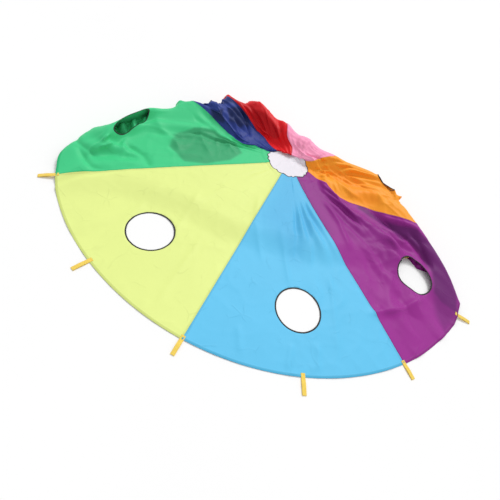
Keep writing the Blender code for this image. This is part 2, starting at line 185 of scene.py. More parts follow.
# Main folds, which the frame's solids have too
MAIN_FOLDS = (
    Fold(-62.0, 0.24, -50.0, 0.62, 0.0600, 0.0264),
    Fold(-50.0, 0.62, -36.0, 0.86, 0.0525, 0.0192),
    Fold(-28.0, 0.80, -44.0, 0.66, 0.0450, 0.0144),
    Fold(-78.0, 0.24, -76.0, 0.62, 0.0525, 0.0240),
    Fold(78.0, 0.90, 88.0, 0.70, 0.0525, 0.0168),
    Fold(88.0, 0.70, 104.0, 0.52, 0.0525, 0.0216),
    Fold(102.0, 0.86, 92.0, 0.92, 0.0525, 0.0288),
    Fold(116.0, 0.22, 122.0, 0.56, 0.0525, 0.0216),
)


class Crease(NamedTuple):
    """A crease of the top layer through flat places, each an angle and a share of the radius."""

    places: tuple[tuple[float, float], ...]
    width: float
    height: float


# Finer folds, valleys and creases that only the dressed cloth has. Many of their courses were carried
# over from points picked on the photo
CREASES = (
    Crease(((30.0, 0.30), (21.0, 0.46), (12.0, 0.62)), 0.018, 0.0048),
    Crease(((8.0, 0.42), (2.0, 0.70)), 0.016, 0.0042),
    Crease(((-16.0, 0.34), (-10.0, 0.47), (-6.0, 0.60)), 0.018, 0.0051),
    Crease(((-14.0, 0.60), (-8.0, 0.94)), 0.015, 0.0038),
    Crease(((-4.0, 0.890), (-3.0, 0.985)), 0.013, 0.0054),
    Crease(((2.0, 0.895), (3.0, 0.985)), 0.014, 0.0054),
    Crease(((14.0, 0.880), (12.0, 0.970)), 0.014, 0.0045),
    Crease(((52.0, 0.50), (40.0, 0.74)), 0.017, 0.0042),
    Crease(((60.0, 0.62), (48.0, 0.94)), 0.016, 0.0042),
    Crease(((34.0, 0.66), (30.0, 0.96)), 0.015, 0.0038),
    Crease(((-280.0, 0.985), (-282.0, 0.958), (-285.0, 0.897), (-287.0, 0.860)), 0.016, -0.0159),
    Crease(((-283.0, 0.970), (-284.0, 0.940), (-291.0, 0.877), (-292.0, 0.830)), 0.015, -0.0145),
    Crease(((-287.0, 0.900), (-285.0, 0.892), (-279.0, 0.820), (-277.0, 0.800)), 0.014, 0.0188),
    Crease(((-286.0, 0.885), (-283.0, 0.840), (-280.0, 0.775)), 0.014, 0.0159),
    Crease(((-281.0, 0.720), (-282.0, 0.700), (-292.0, 0.652)), 0.018, -0.0174),
    Crease(((-268.0, 0.840), (-262.0, 0.810), (-254.0, 0.740)), 0.050, -0.0300),
    Crease(((-262.0, 0.700), (-270.0, 0.610), (-283.0, 0.520)), 0.020, 0.0116),
    Crease(((-258.0, 0.560), (-268.0, 0.470), (-285.0, 0.380)), 0.018, 0.0101),
    Crease(((-256.0, 0.430), (-266.0, 0.340), (-280.0, 0.260)), 0.016, 0.0087),
    Crease(((-288.0, 0.780), (-276.0, 0.700), (-268.0, 0.650)), 0.016, 0.0101),
    Crease(
        ((-190.0, 0.480), (-188.0, 0.458), (-176.0, 0.375), (-170.0, 0.325), (-169.0, 0.250)),
        0.018, 0.0184,
    ),
    Crease(((-196.0, 0.500), (-197.0, 0.380), (-184.0, 0.315), (-178.0, 0.260)), 0.016, 0.0149),
    Crease(((-204.0, 0.540), (-206.0, 0.400), (-196.0, 0.300)), 0.018, -0.0138),
    Crease(((-204.0, 0.500), (-207.0, 0.448), (-220.0, 0.302)), 0.013, -0.0240),
    Crease(((-214.0, 0.560), (-224.0, 0.430), (-236.0, 0.300)), 0.022, 0.0149),
    Crease(((-240.0, 0.620), (-240.0, 0.480), (-246.0, 0.300)), 0.018, -0.0115),
    Crease(((-150.0, 0.250), (-140.0, 0.210), (-128.0, 0.195), (-109.0, 0.185)), 0.014, 0.0115),
    Crease(((-128.0, 0.200), (-122.0, 0.220), (-106.0, 0.322)), 0.014, -0.0149),
    Crease(((-110.0, 0.182), (-92.0, 0.280), (-79.0, 0.365), (-74.0, 0.432), (-72.0, 0.500)), 0.017, 0.0149),
    Crease(((-108.0, 0.300), (-92.0, 0.400), (-82.0, 0.560)), 0.018, 0.0092),
    Crease(((-100.0, 0.420), (-88.0, 0.560), (-80.0, 0.700)), 0.018, 0.0092),
    Crease(((-68.0, 0.520), (-62.0, 0.630), (-59.0, 0.717), (-56.0, 0.787), (-51.0, 0.848)), 0.026, -0.0260),
    Crease(((-62.0, 0.730), (-60.0, 0.775), (-52.0, 0.850)), 0.018, -0.0149),
    Crease(((-20.0, 0.800), (-32.0, 0.835), (-42.0, 0.860)), 0.024, 0.0172),
    Crease(((-58.0, 0.300), (-50.0, 0.420), (-44.0, 0.560)), 0.018, 0.0103),
    Crease(((-40.0, 0.260), (-34.0, 0.400), (-28.0, 0.540)), 0.018, 0.0116),
)


class Pinch(NamedTuple):
    """How the cloth round a toss hole is drawn together: the hole's slit and its raised tip.

    The hole is named by its angle. The slit runs along a plan direction, is drawn out along it and
    closed across it, and its middle moves in plan. The tip is the slit's end along the direction. The
    cloth between the hole and the rim is lifted by the outer lift.
    """

    angle: float
    run: tuple[float, float]
    drawn_out: float
    closed: float
    move: tuple[float, float]
    tip_lift: float
    tip_width: float
    outer_lift: float


PINCHES = (
    Pinch(-270.0, (0.460, 0.888), 1.05, 0.72, (-0.045, -0.060), 0.034, 0.070, 0.045),
    Pinch(-90.0, (0.354, -0.935), 1.00, 0.74, (0.045, -0.062), 0.000, 0.080, 0.038),
)


class PaintedShadePatch(NamedTuple):
    """A part of the top layer with painted shade over it: corners, strength and soft edge."""

    corners: tuple[tuple[float, float], ...]
    strength: float
    softness: float


# Painted shade: most patches darken the top layer where cloth lies below it, as the shade seen through the
# thin nylon; the one over the light blue gore's middle darkens its upper part
# Corners are an angle and a share of the radius, most of them carried over from points picked on the
# photo. The soft edge is in metres
PAINTED_SHADE_PATCHES = (
    PaintedShadePatch((
        (-279.0, 0.578), (-269.0, 0.580), (-262.0, 0.560), (-255.0, 0.487), (-255.0, 0.352),
        (-275.0, 0.242), (-287.0, 0.302), (-291.0, 0.422), (-289.0, 0.510),
    ), 0.85, 0.022),
    PaintedShadePatch(((-240.0, 0.635), (-222.0, 0.585), (-243.0, 0.500), (-249.0, 0.568)), 0.9, 0.040),
    PaintedShadePatch((
        (-215.0, 0.605), (-204.0, 0.532), (-200.0, 0.470), (-206.0, 0.390), (-219.0, 0.400),
        (-225.0, 0.487),
    ), 0.9, 0.040),
    PaintedShadePatch((
        (-64.0, 0.615), (-64.0, 0.682), (-65.0, 0.760), (-61.0, 0.860), (-56.0, 0.930), (-50.0, 0.980),
        (-45.0, 1.000), (-44.0, 0.917), (-45.0, 0.872), (-51.0, 0.845), (-56.0, 0.792), (-59.0, 0.717),
        (-61.0, 0.645),
    ), 1.0, 0.035),
    PaintedShadePatch((
        (-68.0, 0.470), (-66.0, 0.552), (-62.0, 0.640), (-59.0, 0.715), (-57.0, 0.690), (-60.0, 0.600),
        (-62.0, 0.522), (-65.0, 0.460),
    ), 0.9, 0.030),
    PaintedShadePatch(((-45.0, 0.870), (-48.0, 0.953), (-45.0, 1.000), (-38.0, 0.990), (-40.0, 0.930)), 0.6, 0.060),
    PaintedShadePatch((
        (-212.0, 0.660), (-196.0, 0.600), (-184.0, 0.480), (-176.0, 0.383), (-164.0, 0.315),
        (-171.0, 0.285), (-189.0, 0.337), (-199.0, 0.410), (-196.0, 0.487), (-204.0, 0.552),
    ), 0.60, 0.030),
    PaintedShadePatch((
        (-102.0, 0.365), (-91.0, 0.562), (-80.0, 0.615), (-72.0, 0.605), (-69.0, 0.512), (-73.0, 0.425),
        (-85.0, 0.357),
    ), 0.35, 0.060),
    PaintedShadePatch(((22.0, 0.05), (22.0, 0.42), (0.0, 0.56), (-22.0, 0.42), (-22.0, 0.05)), 0.9, 0.250),
    PaintedShadePatch(((-24.0, 0.05), (-24.0, 0.30), (-40.0, 0.70), (-60.0, 0.60), (-66.0, 0.05)), 0.28, 0.200),
)


def smooth(value: Array | float) -> Array:
    """Smooth step from 0 to 1."""
    held = np.clip(value, 0.0, 1.0)
    return held * held * (3.0 - 2.0 * held)


def direction(angle: Array | float) -> Array:
    """The plan direction of an angle."""
    radians = np.radians(angle)
    return np.stack([-np.sin(radians), -np.cos(radians)], -1)


def monotone(xs: Array, ys: Array, at: Array) -> Array:
    """Run a cubic through points, with no hump between them.

    Args:
        xs: Where the points are, in rising order.
        ys: Their values.
        at: Where the curve is read.

    Returns:
        The curve's values.
    """
    steps = np.diff(xs)
    slopes = np.diff(ys) / steps
    tangents = np.zeros(len(xs))
    tangents[0], tangents[-1] = slopes[0], slopes[-1]
    for i in range(1, len(xs) - 1):
        if slopes[i - 1] * slopes[i] > 0:
            before = 2 * steps[i] + steps[i - 1]
            after = steps[i] + 2 * steps[i - 1]
            tangents[i] = (before + after) / (before / slopes[i - 1] + after / slopes[i])
    i = np.clip(np.searchsorted(xs, at) - 1, 0, len(xs) - 2)
    t = (at - xs[i]) / steps[i]
    return (
        (1 + 2 * t) * (1 - t) ** 2 * ys[i]
        + t * (1 - t) ** 2 * steps[i] * tangents[i]
        + t * t * (3 - 2 * t) * ys[i + 1]
        + t * t * (t - 1) * steps[i] * tangents[i + 1]
    )


def noise(x: Array, y: Array, seed: int) -> Array:
    """Smooth noise from -1 to 1 over a plane of unit cells, the same on every run.

    Args:
        x: Places along x, in cells.
        y: The same along y.
        seed: Which noise it is.

    Returns:
        The noise.
    """

    def corner(i: Array, j: Array) -> tuple[Array, Array]:
        """A unit direction for each cell corner."""
        mixed = (i * 374761393 + j * 668265263 + seed * 982451653) & 0xFFFFFFFF
        mixed = ((mixed ^ (mixed >> 13)) * 1274126177) & 0xFFFFFFFF
        turn = (mixed ^ (mixed >> 16)) / 4294967296.0 * 2.0 * math.pi
        return np.cos(turn), np.sin(turn)

    i, j = np.floor(x).astype(np.int64), np.floor(y).astype(np.int64)
    u, v = x - i, y - j
    total = np.zeros_like(u)
    for a in (0, 1):
        for b in (0, 1):
            gx, gy = corner(i + a, j + b)
            weight = (smooth(u) if a else 1 - smooth(u)) * (smooth(v) if b else 1 - smooth(v))
            total += weight * (gx * (u - a) + gy * (v - b))
    return total * 1.5


def ridges(x: Array, y: Array, seed: int) -> Array:
    """Noise of thin raised lines, from 0 to 1."""
    return np.clip(1.0 - RIDGE_SHARPNESS * np.abs(noise(x, y, seed)), 0.0, 1.0) ** 2


class Grain(NamedTuple):
    """Smooth noise over the flat cloth: the length of its cells in metres, and its seed."""

    length: float
    seed: int

    def over(self, flat: Array) -> Array:
        """The noise at flat places, from -1 to 1."""
        x, y = flat.T
        return noise(x / self.length, y / self.length, self.seed)


def slack_left(drawn: Array, least: float, most: float) -> Array:
    """How much cloth a lay leaves over where it draws the cloth out to less than its length.

    Args:
        drawn: How far the lay draws the cloth out, 1 where it keeps its length.
        least: The smallest such share that counts.
        most: The most slack that counts.

    Returns:
        The slack as a share of the laid length.
    """
    return np.clip(1.0 / np.maximum(drawn, least) - 1.0, 0.0, most)


@dataclass(frozen=True)
class Lay:
    """How the cut canopy lies on the floor.

    Its course is that of the frame's solids but for one ray's crest and the tucked stretch. The spread
    of the top layer in plan, the drawn-in holes and the centre's scallops are its own.
    """

    canopy_radius: float = 1.5
    centre_radius: float = 0.150
    cloth_thickness: float = 0.0012
    ridge_height: float = 0.120
    ridge_width: float = 0.190
    narrow_ridge_share: float = 0.55
    back_reach: float = 0.170
    foot_radius: float = 0.012
    tucked_height: float = 0.004
    top_lift: float = 0.026
    lift_run: float = 0.195
    lift_left_share: float = -0.97
    lift_right_share: float = 0.77
    lift_side_share: float = 0.15
    stretch_share: float = 1.35
    pleat_angle: float = 22.5
    pleat_height_share: float = 0.13
    pleat_place_share: float = 0.035
    place_x: float = 0.1685
    place_y: float = 0.5220
    path_steps: int = 24
    shortest_tail: float = 0.0004
    fold_start: float = 0.080
    fold_inner: float = 0.115
    fold_edge: float = 0.215
    fold_end: float = 0.400
    fold_from_share: float = 0.90
    fold_share_run: float = 0.35
    fold_rise: float = 0.020
    fold_steepness: float = 0.9
    main_fold_fade: float = 0.8
    crease_power: float = 1.4
    crease_taper: float = 0.25
    crease_end_share: float = 0.15
    scallops: float = 8.0
    scallop_depth: float = 0.0120
    scallop_reach: float = 0.030
    scallop_middle: float = 20.0
    scallop_spread: float = 0.35
    scallop_fade: float = 0.5
    scallop_drift: float = 2.0
    scallop_uneven: float = 0.6
    scallop_noise: float = 1.9
    scallop_seed: int = 14
    hole_place: float = 1.160
    pinch_full: float = 0.130
    pinch_reach: float = 0.340
    outer_middle: float = 0.5
    outer_steepness: float = 0.8

    def ray(self, angle: Array) -> Ray:
        """The ray at each angle, in real sizes, as a Ray of arrays.

        Args:
            angle: Plan angles.

        Returns:
            A Ray of arrays.
        """
        turned = (np.asarray(angle, float) - FLAT_FROM) % 360.0 + FLAT_FROM
        middle = (FLAT_TO + FLAT_FROM + 360.0) / 2.0
        turned = np.where(turned > FLAT_TO, np.where(turned > middle, FLAT_FROM, FLAT_TO), turned)
        table = np.array(RAYS)
        column = Ray(*(monotone(table[:, 0], values, turned) for values in table.T))
        wave = np.cos(np.radians(turned * 360.0 / self.pleat_angle)) * column.height_share
        return Ray(
            np.asarray(angle, float),
            column.crest_share * self.canopy_radius * (1.0 + self.pleat_place_share * wave),
            np.asarray(angle, float) + column.crest_angle - turned,
            column.height_share * self.ridge_height * (1.0 + self.pleat_height_share * wave),
            column.cloth_share * self.canopy_radius,
            column.outward,
            column.reach_share * self.back_reach,
            column.rim_x_share * self.canopy_radius,
            column.rim_y_share * self.canopy_radius,
        )

    def spread(self, radius: Array, run: Ray) -> tuple[Array, Array]:
        """Where the top layer lies in plan.

        Args:
            radius: Flat distances from the canopy's middle.
            run: The rays that the places are on.

        Returns:
            Plan places, and how far the cloth folds forward over the centre there, from 0 to 1.
        """
        table = np.array(SPREADS)
        held = np.minimum((run.angle - FLAT_FROM) % 360.0 + FLAT_FROM, 0.0)
        spread = Spread(*(monotone(table[:, 0], column, held) for column in table.T))
        third = (run.cloth_share - self.fold_edge) / 3.0
        knots = np.stack([
            np.zeros_like(third), np.full_like(third, self.fold_inner), np.full_like(third, self.fold_edge),
            self.fold_edge + third, self.fold_edge + 2.0 * third, run.cloth_share,
        ], -1)
        shares = [spread.inner_share, spread.edge_share, spread.third_share, spread.far_share]
        turns = [spread.inner_turn, spread.edge_turn, spread.third_turn, spread.far_turn]
        places = [np.zeros((len(third), 2))]
        for i, (share, turn) in enumerate(zip(shares, turns), start=1):
            places.append(direction(run.angle + turn) * (share * knots[:, i])[:, None])
        places.append(direction(run.crest_angle) * run.crest_share[:, None])
        stations = np.stack(places, 1)
        steps = np.diff(knots, axis=1)[..., None]
        slopes = np.diff(stations, axis=1) / steps
        before, after = steps[:, :-1], steps[:, 1:]
        inner = (slopes[:, :-1] * after + slopes[:, 1:] * before) / (before + after)
        tangents = np.concatenate([direction(run.angle)[:, None], inner, slopes[:, -1:]], axis=1)
        held = np.clip(radius, 0.0, run.cloth_share)
        rows = np.arange(len(held))
        i = np.clip((knots < held[:, None]).sum(axis=1) - 1, 0, knots.shape[1] - 2)
        step = steps[rows, i]
        t = ((held - knots[rows, i]) / step[:, 0])[:, None]
        place = (1 + 2 * t) * (1 - t) ** 2 * stations[rows, i] + t**2 * (3 - 2 * t) * stations[rows, i + 1]
        place += step * (t * (1 - t) ** 2 * tangents[rows, i] + t**2 * (t - 1) * tangents[rows, i + 1])
        folded = smooth((self.fold_from_share - spread.edge_share) / self.fold_share_run)
        rise = (radius - self.fold_start) / (self.fold_edge - self.fold_start)
        settle = smooth((self.fold_end - radius) / (self.fold_end - self.fold_edge))
        return place, folded * smooth(self.fold_steepness * rise) * settle

    def lift(self, place: Array) -> Array:
        """How far the top layer lies above the floor, over the layer tucked below it.

        Args:
            place: Plan places from the canopy's middle.

        Returns:
            Heights.
        """
        edge = np.array(LIFT_EDGE_SHARES) * self.canopy_radius
        x = np.clip(place[..., 0], edge[0, 0], edge[-1, 0])
        front = monotone(edge[:, 0], edge[:, 1], x)
        share = place[..., 0] / self.canopy_radius
        sides = smooth((share - self.lift_left_share) / self.lift_side_share)
        sides = sides * smooth((self.lift_right_share - share) / self.lift_side_share)
        return self.top_lift * sides * smooth((place[..., 1] - front) / self.lift_run)

    def fold_height(self, folds: tuple[Fold, ...], flat: Array) -> Array:
        """The height that folds add at flat places.

        Args:
            folds: The folds.
            flat: Flat places.

        Returns:
            Heights.
        """
        added = np.zeros(len(flat))
        for fold in folds:
            start = direction(fold.angle_from) * fold.from_share * self.canopy_radius
            run = direction(fold.angle_to) * fold.to_share * self.canopy_radius - start
            along = np.clip((flat - start) @ run / (run @ run), 0.0, 1.0)
            far = np.linalg.norm(flat - start - along[:, None] * run, axis=1)
            added += fold.height * np.exp(-((far / fold.width) ** 2))
        return added

    def crease_height(self, flat: Array) -> Array:
        """The height that the fine creases add at flat places, less towards each crease's ends.

        Args:
            flat: Flat places.

        Returns:
            Heights.
        """
        added = np.zeros(len(flat))
        for crease in CREASES:
            places = [direction(angle) * share * self.canopy_radius for angle, share in crease.places]
            lengths = [float(np.linalg.norm(b - a)) for a, b in zip(places, places[1:])]
            nearest, run = np.full(len(flat), np.inf), np.zeros(len(flat))
            done = 0.0
            for start, end, length in zip(places, places[1:], lengths):
                along = np.clip((flat - start) @ (end - start) / length**2, 0.0, 1.0)
                far = np.linalg.norm(flat - start - along[:, None] * (end - start), axis=1)
                run = np.where(far < nearest, done + along * length, run)
                nearest = np.minimum(far, nearest)
                done += length
            ends = smooth(np.minimum(run, done - run) / (self.crease_taper * done) + self.crease_end_share)
            profile = np.exp(-((nearest / crease.width) ** self.crease_power))
            added += crease.height * ends * profile
        return added

    def pinched(self, flat: Array, laid: Array) -> Array:
        """Draw the laid cloth together round its slack holes.

        Args:
            flat: Flat places.
            laid: Where they lie before.

        Returns:
            Where they lie then.
        """
        for pinch in PINCHES:
            middle = direction(pinch.angle) * self.hole_place
            far = np.linalg.norm(flat - middle, axis=1)
            near = far < self.pinch_reach
            if not near.any():
                continue
            centre = self.polar(np.array([self.hole_place]), np.array([pinch.angle]))[0, :2]
            centre = centre + [self.place_x, self.place_y]
            run = np.array(pinch.run)
            across = np.array([-run[1], run[0]])
            offset = laid[near, :2] - centre
            weight = smooth((self.pinch_reach - far[near]) / (self.pinch_reach - self.pinch_full))
            drawn = (pinch.drawn_out - 1.0) * (offset @ run)[:, None] * run
            closed = -pinch.closed * (offset @ across)[:, None] * across
            laid[near, :2] += weight[:, None] * (drawn + closed + np.array(pinch.move))
            outer = (flat[near] - middle) @ direction(pinch.angle) / self.pinch_full
            raised = smooth(self.outer_middle + self.outer_steepness * outer)
            laid[near, 2] += pinch.outer_lift * weight * raised
            tip = middle + run * self.pinch_full
            lift = np.exp(-((np.linalg.norm(flat[near] - tip, axis=1) / pinch.tip_width) ** 2))
            laid[near, 2] += pinch.tip_lift * lift
        return laid

    def main_folds(self, flat: Array, radius: Array, low: Array, high: Array) -> Array:
        """The main folds' height, fading from low to high radius."""
        inner = smooth((radius - self.centre_radius) / self.centre_radius)
        return self.fold_height(MAIN_FOLDS, flat) * inner * smooth((high - radius) / (high - low))

    def back_path(self, crest_height: Array, reach: Array) -> tuple[Array, Array, Array]:
        """The outline of the heap's back: down from the crest and round the foot.

        Args:
            crest_height: The height of each crest.
            reach: How far each back slope reaches outwards.

        Returns:
            Distances outwards from the crest, heights, and lengths along the cloth.
        """
        turn = np.linspace(0.0, math.pi / 2, self.path_steps)[None]
        low = self.tucked_height + self.foot_radius
        round_foot = (reach - self.foot_radius)[:, None] + self.foot_radius * np.cos(turn)[:, 1:]
        out = np.concatenate([reach[:, None] * np.sin(turn), round_foot], axis=1)
        foot = np.repeat(low - self.foot_radius * np.sin(turn)[:, 1:], len(reach), axis=0)
        height = np.concatenate([low + (crest_height - low)[:, None] * np.cos(turn), foot], axis=1)
        step = np.hypot(np.diff(out, axis=1), np.diff(height, axis=1))
        length = np.concatenate([np.zeros((len(reach), 1)), np.cumsum(step, axis=1)], axis=1)
        return out, height, length

    def past_crest(self, radius: Array, angle: Array) -> tuple[Array, Array]:
        """How far along the cloth places lie past the crest, and past the foot fold.

        Args:
            radius: Flat distances from the canopy's middle.
            angle: Plan angles.

        Returns:
            Two lengths for each place, below 0 before the crest and the fold.
        """
        run = self.ray(angle)
        _, _, length = self.back_path(self.top_lift + run.height_share, run.reach_share)
        past = radius - run.cloth_share
        return past, past - length[:, -1]

    def polar(self, radius: Array, angle: Array) -> Array:
        """Where the middle of the cloth lies, for flat places given as radius and angle.

        Args:
            radius: Flat distances from the canopy's middle.
            angle: Plan angles.

        Returns:
            Places from the canopy's middle.
        """
        run = self.ray(angle)
        crest = direction(run.crest_angle) * run.crest_share[:, None]
        top, folded = self.spread(radius, run)
        width = np.minimum(self.ridge_width, self.narrow_ridge_share * run.crest_share)
        at_centre = np.exp(-((run.crest_share / width) ** 2))
        hump = np.exp(-((np.linalg.norm(crest - top, axis=1) / width) ** 2))
        height = self.cloth_thickness / 2 + self.lift(top) + self.fold_rise * folded
        height = height + run.height_share * (hump - at_centre) / (1.0 - at_centre)
        flat = direction(run.angle) * radius[:, None]
        fade = run.cloth_share * self.main_fold_fade
        height = height + self.main_folds(flat, radius, fade, run.cloth_share)
        laid = np.concatenate([top, height[:, None]], axis=-1)
        over = radius > run.cloth_share
        if over.any():
            own = Ray(*(column[over] for column in run))
            laid[over] = self.behind(radius[over], own, crest[over])
        return laid

    def behind(self, radius: Array, run: Ray, crest: Array) -> Array:
        """Where the cloth lies beyond the crest.

        Args:
            radius: Flat distances from the canopy's middle.
            run: The rays that the places are on.
            crest: The plan places of their crests.

        Returns:
            Places.
        """
        height = self.cloth_thickness / 2 + self.lift(crest) + run.height_share
        out, up, length = self.back_path(height, run.reach_share)
        along = radius - run.cloth_share
        rows = np.arange(len(along))
        i = np.clip((length < along[:, None]).sum(axis=1) - 1, 0, length.shape[1] - 2)
        t = np.clip((along - length[rows, i]) / (length[rows, i + 1] - length[rows, i]), 0.0, 1.0)
        away = out[rows, i] + t * (out[rows, i + 1] - out[rows, i])
        rise = up[rows, i] + t * (up[rows, i + 1] - up[rows, i])
        outward = direction(run.outward)
        tucked_from = crest + outward * (run.reach_share - self.foot_radius)[:, None]
        rim = np.stack([run.rim_x_share, run.rim_y_share], -1)
        past = along - length[:, -1]
        tail = self.canopy_radius - run.cloth_share - length[:, -1]
        forward = rim - tucked_from
        reach = np.linalg.norm(forward, axis=1)
        stretch = np.minimum(reach / np.maximum(tail, self.shortest_tail), self.stretch_share)
        tucked = tucked_from + forward * (np.clip(past, 0.0, None) * stretch / reach)[:, None]
        plan = np.where((past > 0)[:, None], tucked, crest + outward * away[:, None])
        return np.concatenate([plan, rise[:, None]], axis=1)

    def flat(self, flat: Array) -> Array:
        """Where the middle of the cloth lies, for flat places given as x and y.

        Args:
            flat: Flat places.

        Returns:
            Places in the frame.
        """
        radius = np.hypot(flat[:, 0], flat[:, 1])
        angle = np.degrees(np.arctan2(-flat[:, 0], -flat[:, 1]))
        laid = self.polar(radius, angle) + np.array([self.place_x, self.place_y, 0.0])
        near_centre = np.exp(-(((radius - self.centre_radius) / self.scallop_reach) ** 2))
        towards = np.cos(np.radians(angle - self.scallop_middle))
        front = smooth((towards + self.scallop_spread) / self.scallop_fade)
        uneven = noise(
            np.radians(angle) * self.scallop_noise, np.full_like(angle, 0.5), self.scallop_seed
        )
        turns = np.radians(angle) * self.scallops + self.scallop_drift * uneven
        bend = self.scallop_depth * near_centre * front * np.abs(np.sin(turns))
        bend = bend * (1.0 + self.scallop_uneven * uneven)
        laid[:, :2] += direction(angle) * bend[:, None]
        return self.pinched(flat, laid)

    def slopes(self, flat: Array, step: float = 0.002) -> tuple[Array, Array]:
        """How the laid place changes along the flat x and along the flat y.

        Args:
            flat: Flat places.
            step: How far to each side it is measured.

        Returns:
            Two slopes for each place.
        """
        along_x = self.flat(flat + [step, 0.0]) - self.flat(flat - [step, 0.0])
        along_y = self.flat(flat + [0.0, step]) - self.flat(flat - [0.0, step])
        return along_x / (2 * step), along_y / (2 * step)


@dataclass
class Crumple:
    """The fine shape of the nylon.

    The top layer has gathers along the rays, wrinkles across them, creases and ripples. The layer
    tucked below it has pleats and waves, as high as the room below the top layer lets them be.
    """

    lay: Lay
    gathers_per_radian: float = 48.0
    steepest_gather: float = 0.9
    steepest_behind: float = 7.5
    deep_behind: float = 3.0
    deep_seen: float = 1.60
    seen_share: float = 0.20
    crest_calm: float = 0.7
    set_in: float = 0.8
    calm_before_crest: float = 0.16
    crest_smooth: float = 0.75
    tallest_gather: float = 0.052
    cross_length: float = 0.085
    centre_cross_share: float = 0.42
    cross_share: float = 0.12
    centre_calm: float = 0.45
    steepest_cross: float = 1.9
    least_across: float = 0.2
    most_slack: float = 2.0
    least_outward: float = 0.3
    most_cross_slack: float = 1.5
    slow_drift: Grain = Grain(0.31, 3)
    slow_turn: float = 1.5
    quick_drift: Grain = Grain(0.14, 4)
    quick_turn: float = 0.8
    second_gather: float = 0.35
    second_count: float = 0.53
    second_drift: float = 2.0
    gather_patches: Grain = Grain(0.26, 13)
    patch_middle: float = 0.55
    patch_range: float = 1.1
    cross_bend: Grain = Grain(0.22, 5)
    cross_turn: float = 6.0
    cross_patches: Grain = Grain(0.18, 6)
    middle_calm_share: float = 0.4
    gathers_from_share: float = 0.25
    ripple_height: float = 0.0016
    ripple_patches: Grain = Grain(0.16, 7)
    wrinkle_height: float = 0.0011
    wrinkle_length: float = 0.095
    wrinkle_drawn: tuple[float, float] = (1.8, 1.6)
    wrinkle_seeds: tuple[int, int] = (8, 9)
    wrinkle_patches: Grain = Grain(0.4, 10)
    wrinkle_middle: float = 0.6
    wrinkle_range: float = 1.2
    flat_middle: float = 22.5
    heap_from: float = 40.0
    heap_fade: float = 25.0
    heaped_wrinkle: float = 3.0
    pleats_per_radian: float = 104.0
    steepest_pleat: float = 10.0
    spare_pleat: float = 0.3
    pleat_slope: float = 3.2
    pleat_drift: Grain = Grain(0.25, 11)
    pleat_turn: float = 2.0
    most_tucked_slack: float = 4.0
    least_tucked_outward: float = 0.35
    tucked_bend: Grain = Grain(0.2, 12)
    tucked_turn: float = 4.0
    wave_room_share: float = 0.4
    tucked_from_share: float = 0.3
    tucked_length: float = 0.060
    steepest_tucked: float = 1.6
    room_share: float = 0.74
    room_margin: float = 0.003
    room_beside: float = 0.006
    room_start: float = 0.003
    lowest_share: float = 0.60
    room_used: float = 0.90
    most_room: float = 0.090
    hem_calm: float = 0.035
    hole_calm: float = 0.220
    hole_calm_run: float = 0.08
    hole_calm_share: float = 0.85
    calm_handles: tuple[float, ...] = (-22.5, -45.0)
    handle_calm: float = 0.100
    handle_calm_run: float = 0.04
    handle_calm_inset: float = 0.045
    fade_length: float = 0.045
    tree_rows: int = 150
    tree_columns: int = 720
    first_row: float = 0.0005
    roof: BVHTree | None = None

    def surface(self, flat: Array) -> Array:
        """Where the middle of the crumpled cloth lies, for flat places given as x and y.

        Args:
            flat: Flat places.

        Returns:
            Places in the frame.
        """
        along_x, along_y = self.lay.slopes(flat)
        normal = np.cross(along_x, along_y)
        normal /= np.linalg.norm(normal, axis=1)[:, None]
        radius = np.hypot(flat[:, 0], flat[:, 1])
        away = flat / np.maximum(radius, 1e-6)[:, None]
        across = np.linalg.norm(along_x * away[:, 1:] - along_y * away[:, :1], axis=1)
        outward = np.linalg.norm(along_x * away[:, :1] + along_y * away[:, 1:], axis=1)
        angle = np.degrees(np.arctan2(-flat[:, 0], -flat[:, 1]))
        past_crest, past_foot = self.lay.past_crest(radius, angle)
        top = 1.0 - smooth((past_foot + self.fade_length) / self.fade_length)
        tucked = smooth((past_foot - self.tucked_from_share * self.fade_length) / self.fade_length)
        added = top * self.top_shape(flat, radius, angle, across, outward, past_crest)
        place = self.lay.flat(flat) + normal * added[:, None]
        if self.roof is not None and tucked.any():
            below = np.flatnonzero(tucked)
            room = self.room(flat[below])
            rise = self.tucked_shape(flat[below], radius[below], across[below], outward[below], room)
            place[below, 2] += tucked[below] * rise
        over = self.lay.lift(place[:, :2] - [self.lay.place_x, self.lay.place_y]) * self.lowest_share * top
        place[:, 2] = np.maximum(place[:, 2], self.lay.cloth_thickness / 2 + over)
        return place

    def top_shape(
        self, flat: Array, radius: Array, angle: Array, across: Array, outward: Array, past_crest: Array
    ) -> Array:
        """The height that the top layer's crumples add.

        Args:
            flat: Flat places.
            radius: Their distances from the canopy's middle.
            angle: Their plan angles.
            across: How far the lay draws the cloth out across the rays, 1 where it keeps its width.
            outward: The same along the rays.
            past_crest: How far the places lie beyond the crest.

        Returns:
            Heights along the lay's normal.
        """
        gathers = self.gathers(flat, radius, angle, across, past_crest)
        cross = self.cross_wrinkles(flat, radius, outward)
        edge = self.gathers_from_share * self.lay.centre_radius
        inner = smooth((radius - edge) / self.lay.centre_radius)
        ripple = self.ripple_height * (0.5 + 0.5 * self.ripple_patches.over(flat))
        wrinkles = self.wrinkles(flat, angle)
        creases = self.lay.crease_height(flat)
        return self.calm(flat) * (inner * gathers + cross + ripple + wrinkles + creases)

